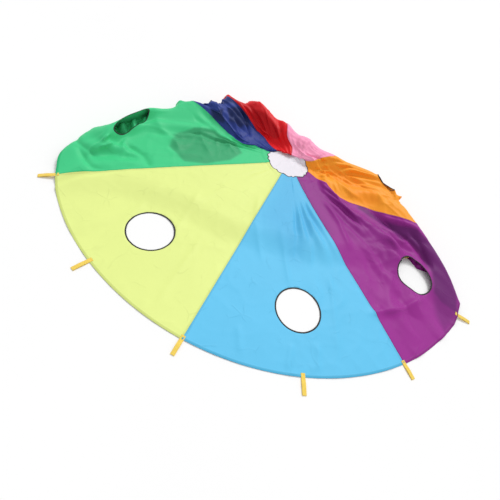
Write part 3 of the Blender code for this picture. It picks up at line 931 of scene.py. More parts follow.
    def gathers(
        self, flat: Array, radius: Array, angle: Array, across: Array, past_crest: Array
    ) -> Array:
        """Heights of the gathers along the rays, from the same values as top_shape's.

        Args:
            flat: Flat places.
            radius: Flat distances from the canopy's middle.
            angle: Plan angles.
            across: How far the lay draws the cloth out across the rays.
            past_crest: How far the places lie beyond the crest.

        Returns:
            Heights.
        """
        slack = slack_left(across, self.least_across, self.most_slack)
        behind = smooth(past_crest / self.fade_length - self.crest_calm)
        steepest = self.steepest_gather + (self.steepest_behind - self.steepest_gather) * behind
        steep = np.minimum(WAVE_SLOPE * np.sqrt(slack) + self.deep_behind * behind * slack, steepest)
        steep = steep + self.deep_seen * (1.0 - behind) * np.clip(slack - 1.0, 0.0, 1.0)
        tallest = self.tallest_gather * (self.seen_share + (1.0 - self.seen_share) * behind)
        size = np.minimum(steep * across * radius / self.gathers_per_radian, tallest)
        drift = self.slow_turn * self.slow_drift.over(flat) + self.quick_turn * self.quick_drift.over(flat)
        turn = np.radians(angle) * self.gathers_per_radian + drift
        second = self.second_gather * np.sin(self.second_count * turn + self.second_drift * drift)
        shape = size * (np.sin(turn) + second - self.set_in * behind)
        patchy = smooth(self.patch_middle + self.patch_range * self.gather_patches.over(flat))
        at_crest = smooth(1.0 + past_crest / self.calm_before_crest)
        return shape * (behind + (1.0 - behind) * patchy * (1.0 - self.crest_smooth * at_crest))

    def cross_wrinkles(self, flat: Array, radius: Array, outward: Array) -> Array:
        """Heights of the soft wrinkles across the rays, from the same values as top_shape's.

        Args:
            flat: Flat places.
            radius: Flat distances from the canopy's middle.
            outward: How far the lay draws the cloth out along the rays.

        Returns:
            Heights.
        """
        slack = slack_left(outward, self.least_outward, self.most_cross_slack)
        steep = np.minimum(WAVE_SLOPE * np.sqrt(slack), self.steepest_cross)
        beyond = smooth(radius / self.lay.centre_radius - 1.0)
        steep = steep * (self.centre_calm + (self.cross_share - self.centre_calm) * beyond)
        length = self.cross_length * (self.centre_cross_share + (1.0 - self.centre_cross_share) * beyond)
        size = steep * outward * length / (2.0 * math.pi)
        bend = self.cross_turn * self.cross_bend.over(flat)
        cross = size * np.sin(2.0 * math.pi * radius / length + bend)
        cross = cross * (1.0 - beyond * (0.5 - 0.5 * self.cross_patches.over(flat)))
        return cross * smooth(radius / (self.middle_calm_share * self.lay.centre_radius))

    def wrinkles(self, flat: Array, angle: Array) -> Array:
        """Heights of the small sharp wrinkles, taller on the heap than on the spread front.

        Args:
            flat: Flat places.
            angle: Plan angles.

        Returns:
            Heights.
        """
        x, y = flat.T
        length = self.wrinkle_length
        (drawn_y, drawn_x), (first, second) = self.wrinkle_drawn, self.wrinkle_seeds
        lines = ridges(x / length, y / (drawn_y * length), first)
        lines = lines + ridges(y / length, x / (drawn_x * length), second)
        patchy = smooth(self.wrinkle_middle + self.wrinkle_range * self.wrinkle_patches.over(flat))
        away = np.abs((angle + (180.0 - self.flat_middle)) % 360.0 - 180.0)
        heaped = smooth((away - self.heap_from) / self.heap_fade)
        return self.wrinkle_height * lines * patchy * (1.0 + (self.heaped_wrinkle - 1.0) * heaped)

    def calm(self, flat: Array) -> Array:
        """How much of the crumples stays by the drawn-in holes and beside two handles, from 0 to 1.

        Args:
            flat: Flat places.

        Returns:
            Shares.
        """
        calm = np.ones(len(flat))
        for pinch in PINCHES:
            far = np.linalg.norm(flat - direction(pinch.angle) * self.lay.hole_place, axis=1)
            calm *= 1.0 - self.hole_calm_share * smooth((self.hole_calm - far) / self.hole_calm_run)
        root = self.lay.canopy_radius - self.handle_calm_inset
        for angle in self.calm_handles:
            far = np.linalg.norm(flat - direction(angle) * root, axis=1)
            calm *= 1.0 - smooth((self.handle_calm - far) / self.handle_calm_run)
        return calm

    def build_roof(self) -> None:
        """Keep the laid top layer, which the tucked layer's pleats have to stay below."""
        rows = np.linspace(self.first_row, self.lay.canopy_radius, self.tree_rows)
        turns = np.linspace(0.0, 2.0 * math.pi, self.tree_columns, endpoint=False)
        grid = rows[:, None, None] * np.stack([np.cos(turns), np.sin(turns)], -1)[None]
        place = self.surface(grid.reshape(-1, 2))
        faces = []
        for i in range(self.tree_rows - 1):
            for k in range(self.tree_columns):
                a, b = i * self.tree_columns + k, i * self.tree_columns + (k + 1) % self.tree_columns
                faces.append((a, b, b + self.tree_columns, a + self.tree_columns))
        self.roof = BVHTree.FromPolygons(place.tolist(), faces)

    def room(self, flat: Array) -> Array:
        """The height free above each tucked place and close beside it.

        Args:
            flat: Flat places.

        Returns:
            Heights.
        """
        free = np.full(len(flat), self.most_room)
        up = Vector((0.0, 0.0, 1.0))
        beside = self.room_beside
        for x, y in ((0.0, 0.0), (beside, 0.0), (-beside, 0.0), (0.0, beside), (0.0, -beside)):
            start = Vector((x, y, self.room_start))
            for i, place in enumerate(self.lay.flat(flat)):
                found = self.roof.ray_cast(Vector(place) + start, up, self.most_room)[3]
                free[i] = min(free[i], self.most_room if found is None else found)
        return np.maximum(free - self.room_margin, 0.0)

    def tucked_shape(self, flat: Array, radius: Array, across: Array, outward: Array, room: Array) -> Array:
        """How far the tucked layer's pleats rise from the floor.

        Args:
            flat: Flat places.
            radius: Their distances from the canopy's middle.
            across: How far the lay draws the cloth out across the rays, 1 where it keeps its width.
            outward: The same along the rays.
            room: The height free above them.

        Returns:
            Heights.
        """
        x, y = flat.T
        drift = self.pleat_turn * self.pleat_drift.over(flat)
        turn = np.arctan2(-x, -y) * self.pleats_per_radian + drift
        slack = slack_left(across, self.least_across, self.most_tucked_slack) + self.spare_pleat
        steep = np.minimum(self.pleat_slope * np.sqrt(slack), self.steepest_pleat)
        size = np.minimum(steep * across * radius / self.pleats_per_radian, self.room_share * room)
        pleats = size * (1.0 + np.sin(turn))
        slack = slack_left(outward, self.least_tucked_outward, self.most_slack)
        steep = np.minimum(WAVE_SLOPE * np.sqrt(slack), self.steepest_tucked)
        size = steep * outward * self.tucked_length / (2.0 * math.pi)
        size = np.minimum(size, self.wave_room_share * self.room_share * room)
        bend = self.tucked_turn * self.tucked_bend.over(flat)
        waves = size * (1.0 + np.sin(2.0 * math.pi * radius / self.tucked_length + bend))
        rise = np.minimum(pleats + waves, self.room_used * room)
        return rise * smooth((self.lay.canopy_radius - radius) / self.hem_calm)


@dataclass
class Net:
    """The flat canopy as rings of small panels, parted into its gores and the centre."""

    lay: Lay
    gore_count: int = 8
    gore_angle: float = 45.0
    row_step: float = 0.0100
    panel_counts: tuple[int, ...] = (14, 28, 56, 112)
    inner_rings: tuple[float, float, float] = (0.014, 0.070, 0.009)
    outer_rings_from: float = 0.077
    outer_ring_step: float = 0.0075
    ring_gap: float = 0.004
    seam_ring: float = 0.005
    gore_borders: tuple[float, ...] = (0.168, 0.40, 0.80)
    hem_border: float = 0.02
    hem_inset_shares: tuple[float, ...] = (1.55, 1.15, 1.0, 0.8, 0.45)
    edge_inset: float = 0.0015
    centre_edge: float = 0.1545
    hem_width: float = 0.013
    seam_columns: tuple[float, float] = (0.0045, 0.0095)
    hole_radius: float = 0.122
    hole_cover: float = 0.004

    def ring_plan(self) -> list[tuple[float, int]]:
        """Each ring's radius and its number of panels per gore.

        Returns:
            Pairs of a radius and a number.
        """
        edge, rim = self.centre_edge, self.lay.canopy_radius
        few, some, _, most = self.panel_counts
        plan = [(r, few) for r in np.arange(*self.inner_rings)]
        outer_rings = np.arange(self.outer_rings_from, edge - self.ring_gap, self.outer_ring_step)
        plan += [(r, some) for r in (*outer_rings, edge, edge + self.seam_ring)]
        borders = (*self.gore_borders, rim - self.hem_border)
        for start, end, columns in zip(borders, borders[1:], self.panel_counts[1:]):
            count = round((end - start) / self.row_step)
            plan += [(start + (end - start) * i / count, columns) for i in range(count)]
        insets = [share * self.hem_width for share in self.hem_inset_shares]
        plan += [(rim - inset, most) for inset in (*insets, self.edge_inset, 0.0)]
        return plan

    def column_arcs(self, radius: float, columns: int) -> Array:
        """Arc distances of a gore's columns from its first seam, close together at both seams.

        Args:
            radius: The ring's radius.
            columns: How many panels the gore has there.

        Returns:
            Arc lengths.
        """
        arc = radius * math.radians(self.gore_angle)
        near, far = self.seam_columns
        if arc / columns < near:
            return np.linspace(0.0, arc, columns + 1)[:-1]
        inner = np.linspace(far, arc - far, columns - 3)
        return np.concatenate([[0.0, near], inner, [arc - near]])

    def build(self) -> tuple[Array, list[tuple[int, ...]], Array]:
        """Lay out the net.

        Returns:
            Flat places, faces as tuples of place numbers, and each face's gore. The centre's number is
            the one after the last gore's.
        """
        plan, count = self.ring_plan(), self.gore_count
        places = [np.zeros((1, 2))]
        starts = []
        total = 1
        for radius, columns in plan:
            starts.append(total)
            arcs = self.column_arcs(radius, columns)
            for gore in range(count):
                angle = gore * self.gore_angle - self.gore_angle / 2 + np.degrees(arcs / radius)
                places.append(direction(angle) * radius)
            total += count * columns
        faces: list[tuple[int, ...]] = []
        gores: list[int] = []
        first = count * plan[0][1]
        for i in range(first):
            faces.append((0, 1 + (i + 1) % first, 1 + i))
            gores.append(count)
        for (_, n), (outer, m), a, b in zip(plan, plan[1:], starts, starts[1:]):
            for i in range(count * n):
                j = (i + 1) % (count * n)
                gore = count if outer < self.centre_edge + 1e-6 else i // n
                if m == n:
                    faces.append((a + i, a + j, b + j, b + i))
                    gores.append(gore)
                else:
                    k = (2 * i + 2) % (count * m)
                    faces += [(a + i, b + 2 * i + 1, b + 2 * i), (a + i, a + j, b + 2 * i + 1)]
                    faces.append((a + j, b + k, b + 2 * i + 1))
                    gores += [gore] * 3
        flat = np.concatenate(places)
        return self.punch(flat, faces, np.array(gores))

    def punch(self, flat: Array, faces: list[tuple[int, ...]], gores: Array) -> tuple:
        """Take the toss holes out of the net and round their edges.

        Args:
            flat: The net's places, which it moves at the edges.
            faces: Its faces.
            gores: Each face's gore.

        Returns:
            The places, the faces left and their gores.
        """
        middles = np.array([flat[list(face)].mean(axis=0) for face in faces])
        keep = np.ones(len(faces), bool)
        radius = self.hole_radius + self.hole_cover
        for gore in range(self.gore_count):
            centre = direction(gore * self.gore_angle) * self.lay.hole_place
            inside = (gores == gore) & (np.linalg.norm(middles - centre, axis=1) < radius)
            cut = {v for i in np.flatnonzero(inside) for v in faces[i]}
            keep &= ~inside
            ring = [i for i in np.flatnonzero((gores == gore) & ~inside) if cut & set(faces[i])]
            edge = sorted({v for i in ring for v in faces[i]} & cut)
            away = flat[edge] - centre
            flat[edge] = centre + away * (radius / np.linalg.norm(away, axis=1))[:, None]
        return flat, [face for face, kept in zip(faces, keep) if kept], gores[keep]


def face_rows(faces: list[tuple[int, ...]]) -> Array:
    """Faces as rows of four place numbers, a triangle with its last one twice."""
    return np.array([face if len(face) == 4 else (*face, face[-1]) for face in faces])


def place_normals(place: Array, faces: list[tuple[int, ...]]) -> Array:
    """Upward normals of a laid net, one for each place.

    Args:
        place: Its places.
        faces: Its faces.

    Returns:
        Unit normals.
    """
    rows = face_rows(faces)
    across = np.cross(place[rows[:, 2]] - place[rows[:, 0]], place[rows[:, 3]] - place[rows[:, 1]])
    total = np.zeros_like(place)
    for column in rows.T:
        np.add.at(total, column, across)
    return total / np.maximum(np.linalg.norm(total, axis=1), 1e-12)[:, None]


def link_mesh(name: str, places: Array, faces: list, uv: Array | None = None) -> bpy.types.Object:
    """Make a smooth mesh object.

    Args:
        name: The piece's name.
        places: Its vertices.
        faces: Its faces, as tuples of vertex numbers.
        uv: A flat place for each vertex, in metres.

    Returns:
        The new object.
    """
    mesh = bpy.data.meshes.new(name)
    mesh.from_pydata(places.tolist(), [], faces)
    mesh.polygons.foreach_set("use_smooth", np.ones(len(faces), bool))
    if uv is not None:
        loops = np.zeros(len(mesh.loops), np.int32)
        mesh.loops.foreach_get("vertex_index", loops)
        layer = mesh.uv_layers.new(name="cut")
        layer.data.foreach_set("uv", uv[loops].astype(np.float32).ravel())
    mesh.update()
    made = bpy.data.objects.new(name, mesh)
    bpy.context.scene.collection.objects.link(made)
    return made


def add_mask(piece: bpy.types.Object, name: str, values: Array) -> None:
    """Keep one number for each vertex of a piece, for its material."""
    layer = piece.data.attributes.new(name, "FLOAT", "POINT")
    layer.data.foreach_set("value", values.astype(np.float32))


def thin_shell(
    name: str, place: Array, normal: Array, faces: list[tuple[int, ...]], thickness: float, uv: Array
) -> tuple[bpy.types.Object, Array]:
    """Make a closed thin piece from an open sheet.

    Args:
        name: The piece's name.
        place: The sheet's places, with others that these faces leave out.
        normal: The upward normal at each place.
        faces: The sheet's faces.
        thickness: How thick the piece is.
        uv: A flat place for each place.

    Returns:
        The piece, and the number of the place that each of its vertices stands on.
    """
    used = np.unique(np.concatenate([np.array(face) for face in faces]))
    number = np.full(len(place), -1)
    number[used] = np.arange(len(used))
    count = len(used)
    top = [tuple(int(number[v]) for v in face) for face in faces]
    shell = list(top)
    sides: dict[tuple[int, int], int] = {}
    for face in top:
        shell.append(tuple(v + count for v in reversed(face)))
        for a, b in zip(face, face[1:] + face[:1]):
            sides[(a, b)] = 1
    for a, b in sides:
        if (b, a) not in sides:
            shell.append((b, a, a + count, b + count))
    offset = normal[used] * thickness / 2
    places = np.concatenate([place[used] + offset, place[used] - offset])
    piece = link_mesh(name, places, shell, np.concatenate([uv[used], uv[used]]))
    return piece, np.concatenate([used, used])


class Held(Enum):
    """How a sheet of cloth is held."""

    LAID = "laid"
    GATHERED = "gathered"


class Gore(NamedTuple):
    """One gore: its colour's name, how it lies, its dyed colour, and that colour darkened as painted shade
    where another layer lies below it.
    """

    colour_name: str
    held: Held
    colour: tuple[float, float, float]
    doubled: tuple[float, float, float]


# In order of their middles' plan angles, 45 degrees apart from the front
GORES = (
    # The second colour of each gore is painted shade, for where another layer lies below it
    Gore("light_blue", Held.LAID, (0.130, 0.545, 0.840), (0.100, 0.460, 0.760)),
    Gore("yellow", Held.LAID, (0.770, 0.870, 0.285), (0.700, 0.800, 0.240)),
    Gore("green", Held.GATHERED, (0.057, 0.600, 0.245), (0.042, 0.340, 0.148)),
    Gore("dark_blue", Held.GATHERED, (0.028, 0.052, 0.260), (0.013, 0.023, 0.095)),
    Gore("red", Held.GATHERED, (0.740, 0.008, 0.014), (0.440, 0.006, 0.010)),
    Gore("pink", Held.GATHERED, (1.000, 0.360, 0.560), (0.940, 0.260, 0.450)),
    Gore("orange", Held.GATHERED, (1.000, 0.360, 0.026), (0.980, 0.230, 0.008)),
    Gore("purple", Held.GATHERED, (0.320, 0.027, 0.275), (0.150, 0.017, 0.155)),
)


class Nodes:
    """Short calls for building one node tree."""

    def __init__(self, tree: bpy.types.NodeTree) -> None:
        """Start on a tree."""
        self.tree = tree

    def add(self, kind: str, inputs: dict | None = None, **settings: object) -> bpy.types.Node:
        """Add a node, set its options, and give its inputs values or links.

        Args:
            kind: The node's type.
            inputs: Values or output sockets, by input name or number.
            settings: The node's own options.

        Returns:
            The node.
        """
        node = self.tree.nodes.new(kind)
        for key, value in settings.items():
            setattr(node, key, value)
        for key, value in (inputs or {}).items():
            if isinstance(value, bpy.types.NodeSocket):
                self.tree.links.new(value, node.inputs[key])
            else:
                node.inputs[key].default_value = value
        return node

    def math(self, operation: str, *values: object, clamp: bool = False) -> bpy.types.NodeSocket:
        """The result of a Math node."""
        inputs = dict(enumerate(values))
        return self.add("ShaderNodeMath", inputs, operation=operation, use_clamp=clamp).outputs[0]

    def mix(self, share: object, first: object, second: object) -> bpy.types.NodeSocket:
        """A mix of two colours."""
        node = self.add("ShaderNodeMix", {0: share, 6: first, 7: second}, data_type="RGBA")
        return node.outputs[2]

    def step(self, value: object, low: float, high: float) -> bpy.types.NodeSocket:
        """A smooth step from 0 at low to 1 at high."""
        inputs = {"Value": value, "From Min": low, "From Max": high}
        node = self.add("ShaderNodeMapRange", inputs, interpolation_type="SMOOTHSTEP")
        return node.outputs["Result"]

    def cut_place(self) -> bpy.types.NodeSocket:
        """The place on the cut cloth, in metres."""
        return self.add("ShaderNodeUVMap", uv_map="cut").outputs[0]

    def apart(self, place: bpy.types.NodeSocket) -> bpy.types.bpy_prop_collection:
        """A place's X, Y and Z, by name."""
        return self.add("ShaderNodeSeparateXYZ", {0: place}).outputs

    def clouds(self, place: bpy.types.NodeSocket, scale: float, detail: float) -> bpy.types.Node:
        """Soft noise: its scale in cells to a metre, and how many finer layers it has."""
        inputs = {"Vector": place, "Scale": scale, "Detail": detail}
        return self.add("ShaderNodeTexNoise", inputs)

    def mask(self, name: str) -> bpy.types.NodeSocket:
        """A number kept on the piece's vertices."""
        return self.add("ShaderNodeAttribute", attribute_name=name).outputs["Fac"]


class Effects:
    """The node groups that several finishes share.

    Places across a sewn edge are shares of its width, and lengths are metres.
    """

    slub_scale: float = 900.0
    doubled_fade: tuple[float, float] = (0.92, 1.06)
    doubled_saturation: float = 1.12
    doubled_value: float = 0.62
    doubled_height: float = 0.5
    row_place: float = 0.80
    row_fade: tuple[float, float] = (0.03, 0.09)
    row_depth: float = 0.35
    stitch_pitch: float = 0.0042
    stitch_fade: tuple[float, float] = (-0.5, -0.1)
    stitch_saturation: float = 0.8
    stitch_value: float = 1.25
    stitch_strength: float = 0.55
    stitch_height: float = 0.5
    cloud_scale: float = 3.2
    warp_scale: float = 5.0
    warp_share: float = 0.12
    crease_scale: float = 7.5
    crease_width: float = 0.045
    crease_patch_scale: float = 11.0
    crease_patch_fade: tuple[float, float] = (0.46, 0.66)
    crease_painted_shade: float = -0.05

    def __init__(self) -> None:
        """Build the groups."""
        self.weave = self.build_weave()
        self.sewn = self.build_sewn()
        self.tone = self.build_tone()

    @staticmethod
    def group(name: str, inputs: dict[str, str], outputs: dict[str, str]) -> tuple:
        """Start a node group.

        Args:
            name: The group's name.
            inputs: Socket types by name.
            outputs: The same.

        Returns:
            The group, its node helper, its input node and its output node.
        """
        tree = bpy.data.node_groups.new(name, "ShaderNodeTree")
        for way, sockets in (("INPUT", inputs), ("OUTPUT", outputs)):
            for socket, kind in sockets.items():
                tree.interface.new_socket(socket, in_out=way, socket_type=kind)
        nodes = Nodes(tree)
        return tree, nodes, nodes.add("NodeGroupInput"), nodes.add("NodeGroupOutput")

    def build_weave(self) -> bpy.types.NodeTree:
        """Crossed threads over the cut cloth: their Pitch in metres, their Slub, and their Height.

        Returns:
            The group.
        """
        floats = {"Pitch": "NodeSocketFloat", "Slub": "NodeSocketFloat"}
        tree, nodes, start, end = self.group("crossed_threads", floats, {"Height": "NodeSocketFloat"})
        place = nodes.cut_place()
        apart = nodes.apart(place)
        slub = nodes.clouds(place, self.slub_scale, 1.0)
        waves = []
        for axis in ("X", "Y"):
            turns = nodes.math("DIVIDE", apart[axis], start.outputs["Pitch"])
            turns = nodes.math("MULTIPLY", turns, 2.0 * math.pi)
            waves.append(nodes.math("SINE", turns))
        weave = nodes.math("MULTIPLY", waves[0], waves[1])
        grain = nodes.math("MULTIPLY", slub.outputs[0], start.outputs["Slub"])
        nodes.tree.links.new(nodes.math("ADD", weave, grain), end.inputs["Height"])
        return tree

    def build_sewn(self) -> bpy.types.NodeTree:
        """The doubled cloth and the stitches of a row of sewing at a distance from an edge.

        Returns:
            The group.
        """
        inputs = {
            "Colour": "NodeSocketColor",
            "Distance": "NodeSocketFloat",
            "Width": "NodeSocketFloat",
            "Darkening": "NodeSocketFloat",
            "Along": "NodeSocketFloat",
        }
        outputs = {"Colour": "NodeSocketColor", "Height": "NodeSocketFloat"}
        tree, nodes, start, end = self.group("sewn_edge", inputs, outputs)
        width, distance = start.outputs["Width"], start.outputs["Distance"]
        share = nodes.math("DIVIDE", distance, width)
        doubled = nodes.math("SUBTRACT", 1.0, nodes.step(share, *self.doubled_fade))
        strength = nodes.math("MULTIPLY", doubled, start.outputs["Darkening"])
        darker = self.changed(
            nodes, start.outputs["Colour"], self.doubled_saturation, self.doubled_value
        )
        toned = nodes.mix(strength, start.outputs["Colour"], darker)
        beside = nodes.math("ABSOLUTE", nodes.math("SUBTRACT", share, self.row_place))
        row = nodes.math("SUBTRACT", 1.0, nodes.step(beside, *self.row_fade))
        turns = nodes.math("MULTIPLY", start.outputs["Along"], 2.0 * math.pi / self.stitch_pitch)
        stitch = nodes.math("MULTIPLY", row, nodes.step(nodes.math("SINE", turns), *self.stitch_fade))
        lighter = self.changed(nodes, toned, self.stitch_saturation, self.stitch_value)
        sewn = nodes.mix(nodes.math("MULTIPLY", stitch, self.stitch_strength), toned, lighter)
        nodes.tree.links.new(sewn, end.inputs["Colour"])
        raised = nodes.math("MULTIPLY", doubled, self.doubled_height)
        pucker = nodes.math("SUBTRACT", raised, nodes.math("MULTIPLY", row, self.row_depth))
        height = nodes.math("ADD", pucker, nodes.math("MULTIPLY", stitch, self.stitch_height))
        nodes.tree.links.new(height, end.inputs["Height"])
        return tree

    @staticmethod
    def changed(
        nodes: Nodes, colour: bpy.types.NodeSocket, saturation: float, value: float | bpy.types.NodeSocket
    ) -> bpy.types.NodeSocket:
        """A colour with its saturation and its value multiplied."""
        inputs = {"Saturation": saturation, "Value": value, "Color": colour}
        return nodes.add("ShaderNodeHueSaturation", inputs).outputs[0]

    def build_tone(self) -> bpy.types.NodeTree:
        """Uneven dye, and faint creases with painted shade along them, over the cut cloth.

        Returns:
            The group.
        """
        inputs = {"Colour": "NodeSocketColor", "Unevenness": "NodeSocketFloat"}
        outputs = {"Colour": "NodeSocketColor", "Height": "NodeSocketFloat"}
        tree, nodes, start, end = self.group("dye_and_crease_shade", inputs, outputs)
        place = nodes.cut_place()
        clouds = nodes.clouds(place, self.cloud_scale, 4.0)
        value = nodes.math("SUBTRACT", clouds.outputs[0], 0.5)
        value = nodes.math("MULTIPLY", value, start.outputs["Unevenness"])
        warped = nodes.clouds(place, self.warp_scale, 2.0)
        inputs = {0: self.warp_share, 4: place, 5: warped.outputs["Color"]}
        bent = nodes.add("ShaderNodeMix", inputs, data_type="VECTOR")
        inputs = {"Vector": bent.outputs[1], "Scale": self.crease_scale}
        cells = nodes.add("ShaderNodeTexVoronoi", inputs, feature="DISTANCE_TO_EDGE")
        line = nodes.step(cells.outputs["Distance"], 0.0, self.crease_width)
        crease = nodes.math("SUBTRACT", 1.0, line)
        crease_patches = nodes.clouds(place, self.crease_patch_scale, 2.0)
        crease = nodes.math("MULTIPLY", crease, nodes.step(crease_patches.outputs[0], *self.crease_patch_fade))
        # Painted shade: darker along the faint creases, in patches
        value = nodes.math("ADD", value, nodes.math("MULTIPLY", crease, self.crease_painted_shade))
        toned = self.changed(nodes, start.outputs["Colour"], 1.0, nodes.math("ADD", value, 1.0))
        nodes.tree.links.new(toned, end.inputs["Colour"])
        nodes.tree.links.new(crease, end.inputs["Height"])
        return tree


@dataclass(frozen=True)
class Finish:
    """What every finish has: its name, its roughness and its soft sheen."""

    name: str
    roughness: float
    sheen: float
    sheen_roughness: float = 0.4
    specular: float = 0.14
    bump_strength: float = 0.8

    def start(self) -> tuple[bpy.types.Material, Nodes, bpy.types.Node]:
        """A new material, its node helper and its shader, with the plain values set.

        Returns:
            The three.
        """
        made = bpy.data.materials.new(self.name)
        made.use_nodes = True
        shader = made.node_tree.nodes["Principled BSDF"]
        shader.inputs["Roughness"].default_value = self.roughness
        shader.inputs["Sheen Weight"].default_value = self.sheen
        shader.inputs["Sheen Roughness"].default_value = self.sheen_roughness
        shader.inputs["Specular IOR Level"].default_value = self.specular
        return made, Nodes(made.node_tree), shader

    def raise_threads(
        self, nodes: Nodes, shader: bpy.types.Node, height: bpy.types.NodeSocket
    ) -> None:
        """Let a height in metres bend the light on the surface."""
        inputs = {"Strength": self.bump_strength, "Distance": 1.0, "Height": height}
        bump = nodes.add("ShaderNodeBump", inputs)
        nodes.tree.links.new(bump.outputs[0], shader.inputs["Normal"])


@dataclass(frozen=True)
class NylonFinish(Finish):
    """Thin dyed nylon: painted shade where another layer lies below it, and sewn along seams and hem."""

    colour: tuple[float, float, float] = (0.8, 0.8, 0.8)
    # Painted shade colour, for where another layer lies below
    doubled: tuple[float, float, float] = (0.6, 0.6, 0.6)
    thread_pitch: float = 0.0011
    seam_width: float = 0.0095
    hem_width: float = 0.013
    unevenness: float = 0.10
    slub: float = 0.6
    seam_darkening: float = 0.30
    hem_darkening: float = 0.60
    thread_height: float = 0.00003
    crease_height: float = 0.0011
    seam_height: float = 0.0006
    hem_height: float = 0.0007
    bump_strength: float = 0.6

    def make(self, effects: Effects) -> bpy.types.Material:
        """Build the material.

        Args:
            effects: The shared node groups.

        Returns:
            The material.
        """
        made, nodes, shader = self.start()
        apart = nodes.apart(nodes.cut_place())
        # Painted shade: the mask below mixes in the darker colour
        colour = nodes.mix(nodes.mask("below"), (*self.colour, 1.0), (*self.doubled, 1.0))
        tone = nodes.add("ShaderNodeGroup", node_tree=effects.tone)
        nodes.tree.links.new(colour, tone.inputs["Colour"])
        tone.inputs["Unevenness"].default_value = self.unevenness
        seam = self.sewn(
            nodes, effects, tone.outputs["Colour"], "seam", self.seam_width, self.seam_darkening,
            apart["Y"],
        )
        hem = self.sewn(
            nodes, effects, seam.outputs["Colour"], "rim", self.hem_width, self.hem_darkening,
            apart["X"],
        )
        nodes.tree.links.new(hem.outputs["Colour"], shader.inputs["Base Color"])
        weave = nodes.add("ShaderNodeGroup", node_tree=effects.weave)
        weave.inputs["Pitch"].default_value = self.thread_pitch
        weave.inputs["Slub"].default_value = self.slub
        height = nodes.math("MULTIPLY", weave.outputs["Height"], self.thread_height)
        sizes = (self.crease_height, self.seam_height, self.hem_height)
        for group, size in zip((tone, seam, hem), sizes):
            height = nodes.math("ADD", height, nodes.math("MULTIPLY", group.outputs["Height"], size))
        self.raise_threads(nodes, shader, height)
        return made

    @staticmethod
    def sewn(
        nodes: Nodes, effects: Effects, colour: bpy.types.NodeSocket, mask: str, width: float,
        darkening: float, along: bpy.types.NodeSocket,
    ) -> bpy.types.Node:
        """Place the sewn edge's group for one edge.

        Args:
            nodes: The material's node helper.
            effects: The shared node groups.
            colour: The cloth's colour.
            mask: The mask that holds the distance from the edge.
            width: How wide the sewn edge is.
            darkening: How much darker the doubled cloth is.
            along: The place along the stitches.

        Returns:
            The placed group.
        """
        group = nodes.add("ShaderNodeGroup", node_tree=effects.sewn)
        nodes.tree.links.new(colour, group.inputs["Colour"])
        nodes.tree.links.new(nodes.mask(mask), group.inputs["Distance"])
        nodes.tree.links.new(along, group.inputs["Along"])
        group.inputs["Width"].default_value = width
        group.inputs["Darkening"].default_value = darkening
        return group


@dataclass(frozen=True)
class TapeFinish(Finish):
    """Ribbed tape or webbing: ribs across its length."""

    colour: tuple[float, float, float] = (0.02, 0.02, 0.02)
    # Lighter colour: painted highlight on the ribs' raised tops, and random mottle
    mottle_and_rib_highlight: tuple[float, float, float] = (0.05, 0.05, 0.05)
    rib_pitch: float = 0.0016
    rib_height: float = 0.00012
    rib_share: float = 0.28
    slub: float = 0.5
    cloud_scale: float = 90.0

    def make(self, effects: Effects) -> bpy.types.Material:
        """Build the material.

        Args:
            effects: The shared node groups.

        Returns:
            The material.
        """
        made, nodes, shader = self.start()
        place = nodes.cut_place()
        apart = nodes.apart(place)
        weave = nodes.add("ShaderNodeGroup", node_tree=effects.weave)
        weave.inputs["Pitch"].default_value = self.rib_pitch / 2
        weave.inputs["Slub"].default_value = self.slub
        rib = nodes.math("MULTIPLY", apart["X"], 2.0 * math.pi / self.rib_pitch)
        rib = nodes.math("SINE", rib)
        clouds = nodes.clouds(place, self.cloud_scale, 3.0)
        share = nodes.math("ADD", nodes.math("MULTIPLY", rib, self.rib_share), clouds.outputs[0], clamp=True)
        # Painted highlight: lighter where the ribs rise, mixed with random mottle from the clouds
        colour = nodes.mix(share, (*self.colour, 1.0), (*self.mottle_and_rib_highlight, 1.0))
        nodes.tree.links.new(colour, shader.inputs["Base Color"])
        height = nodes.math("MULTIPLY", nodes.math("ADD", rib, weave.outputs["Height"]), self.rib_height)
        self.raise_threads(nodes, shader, height)
        return made


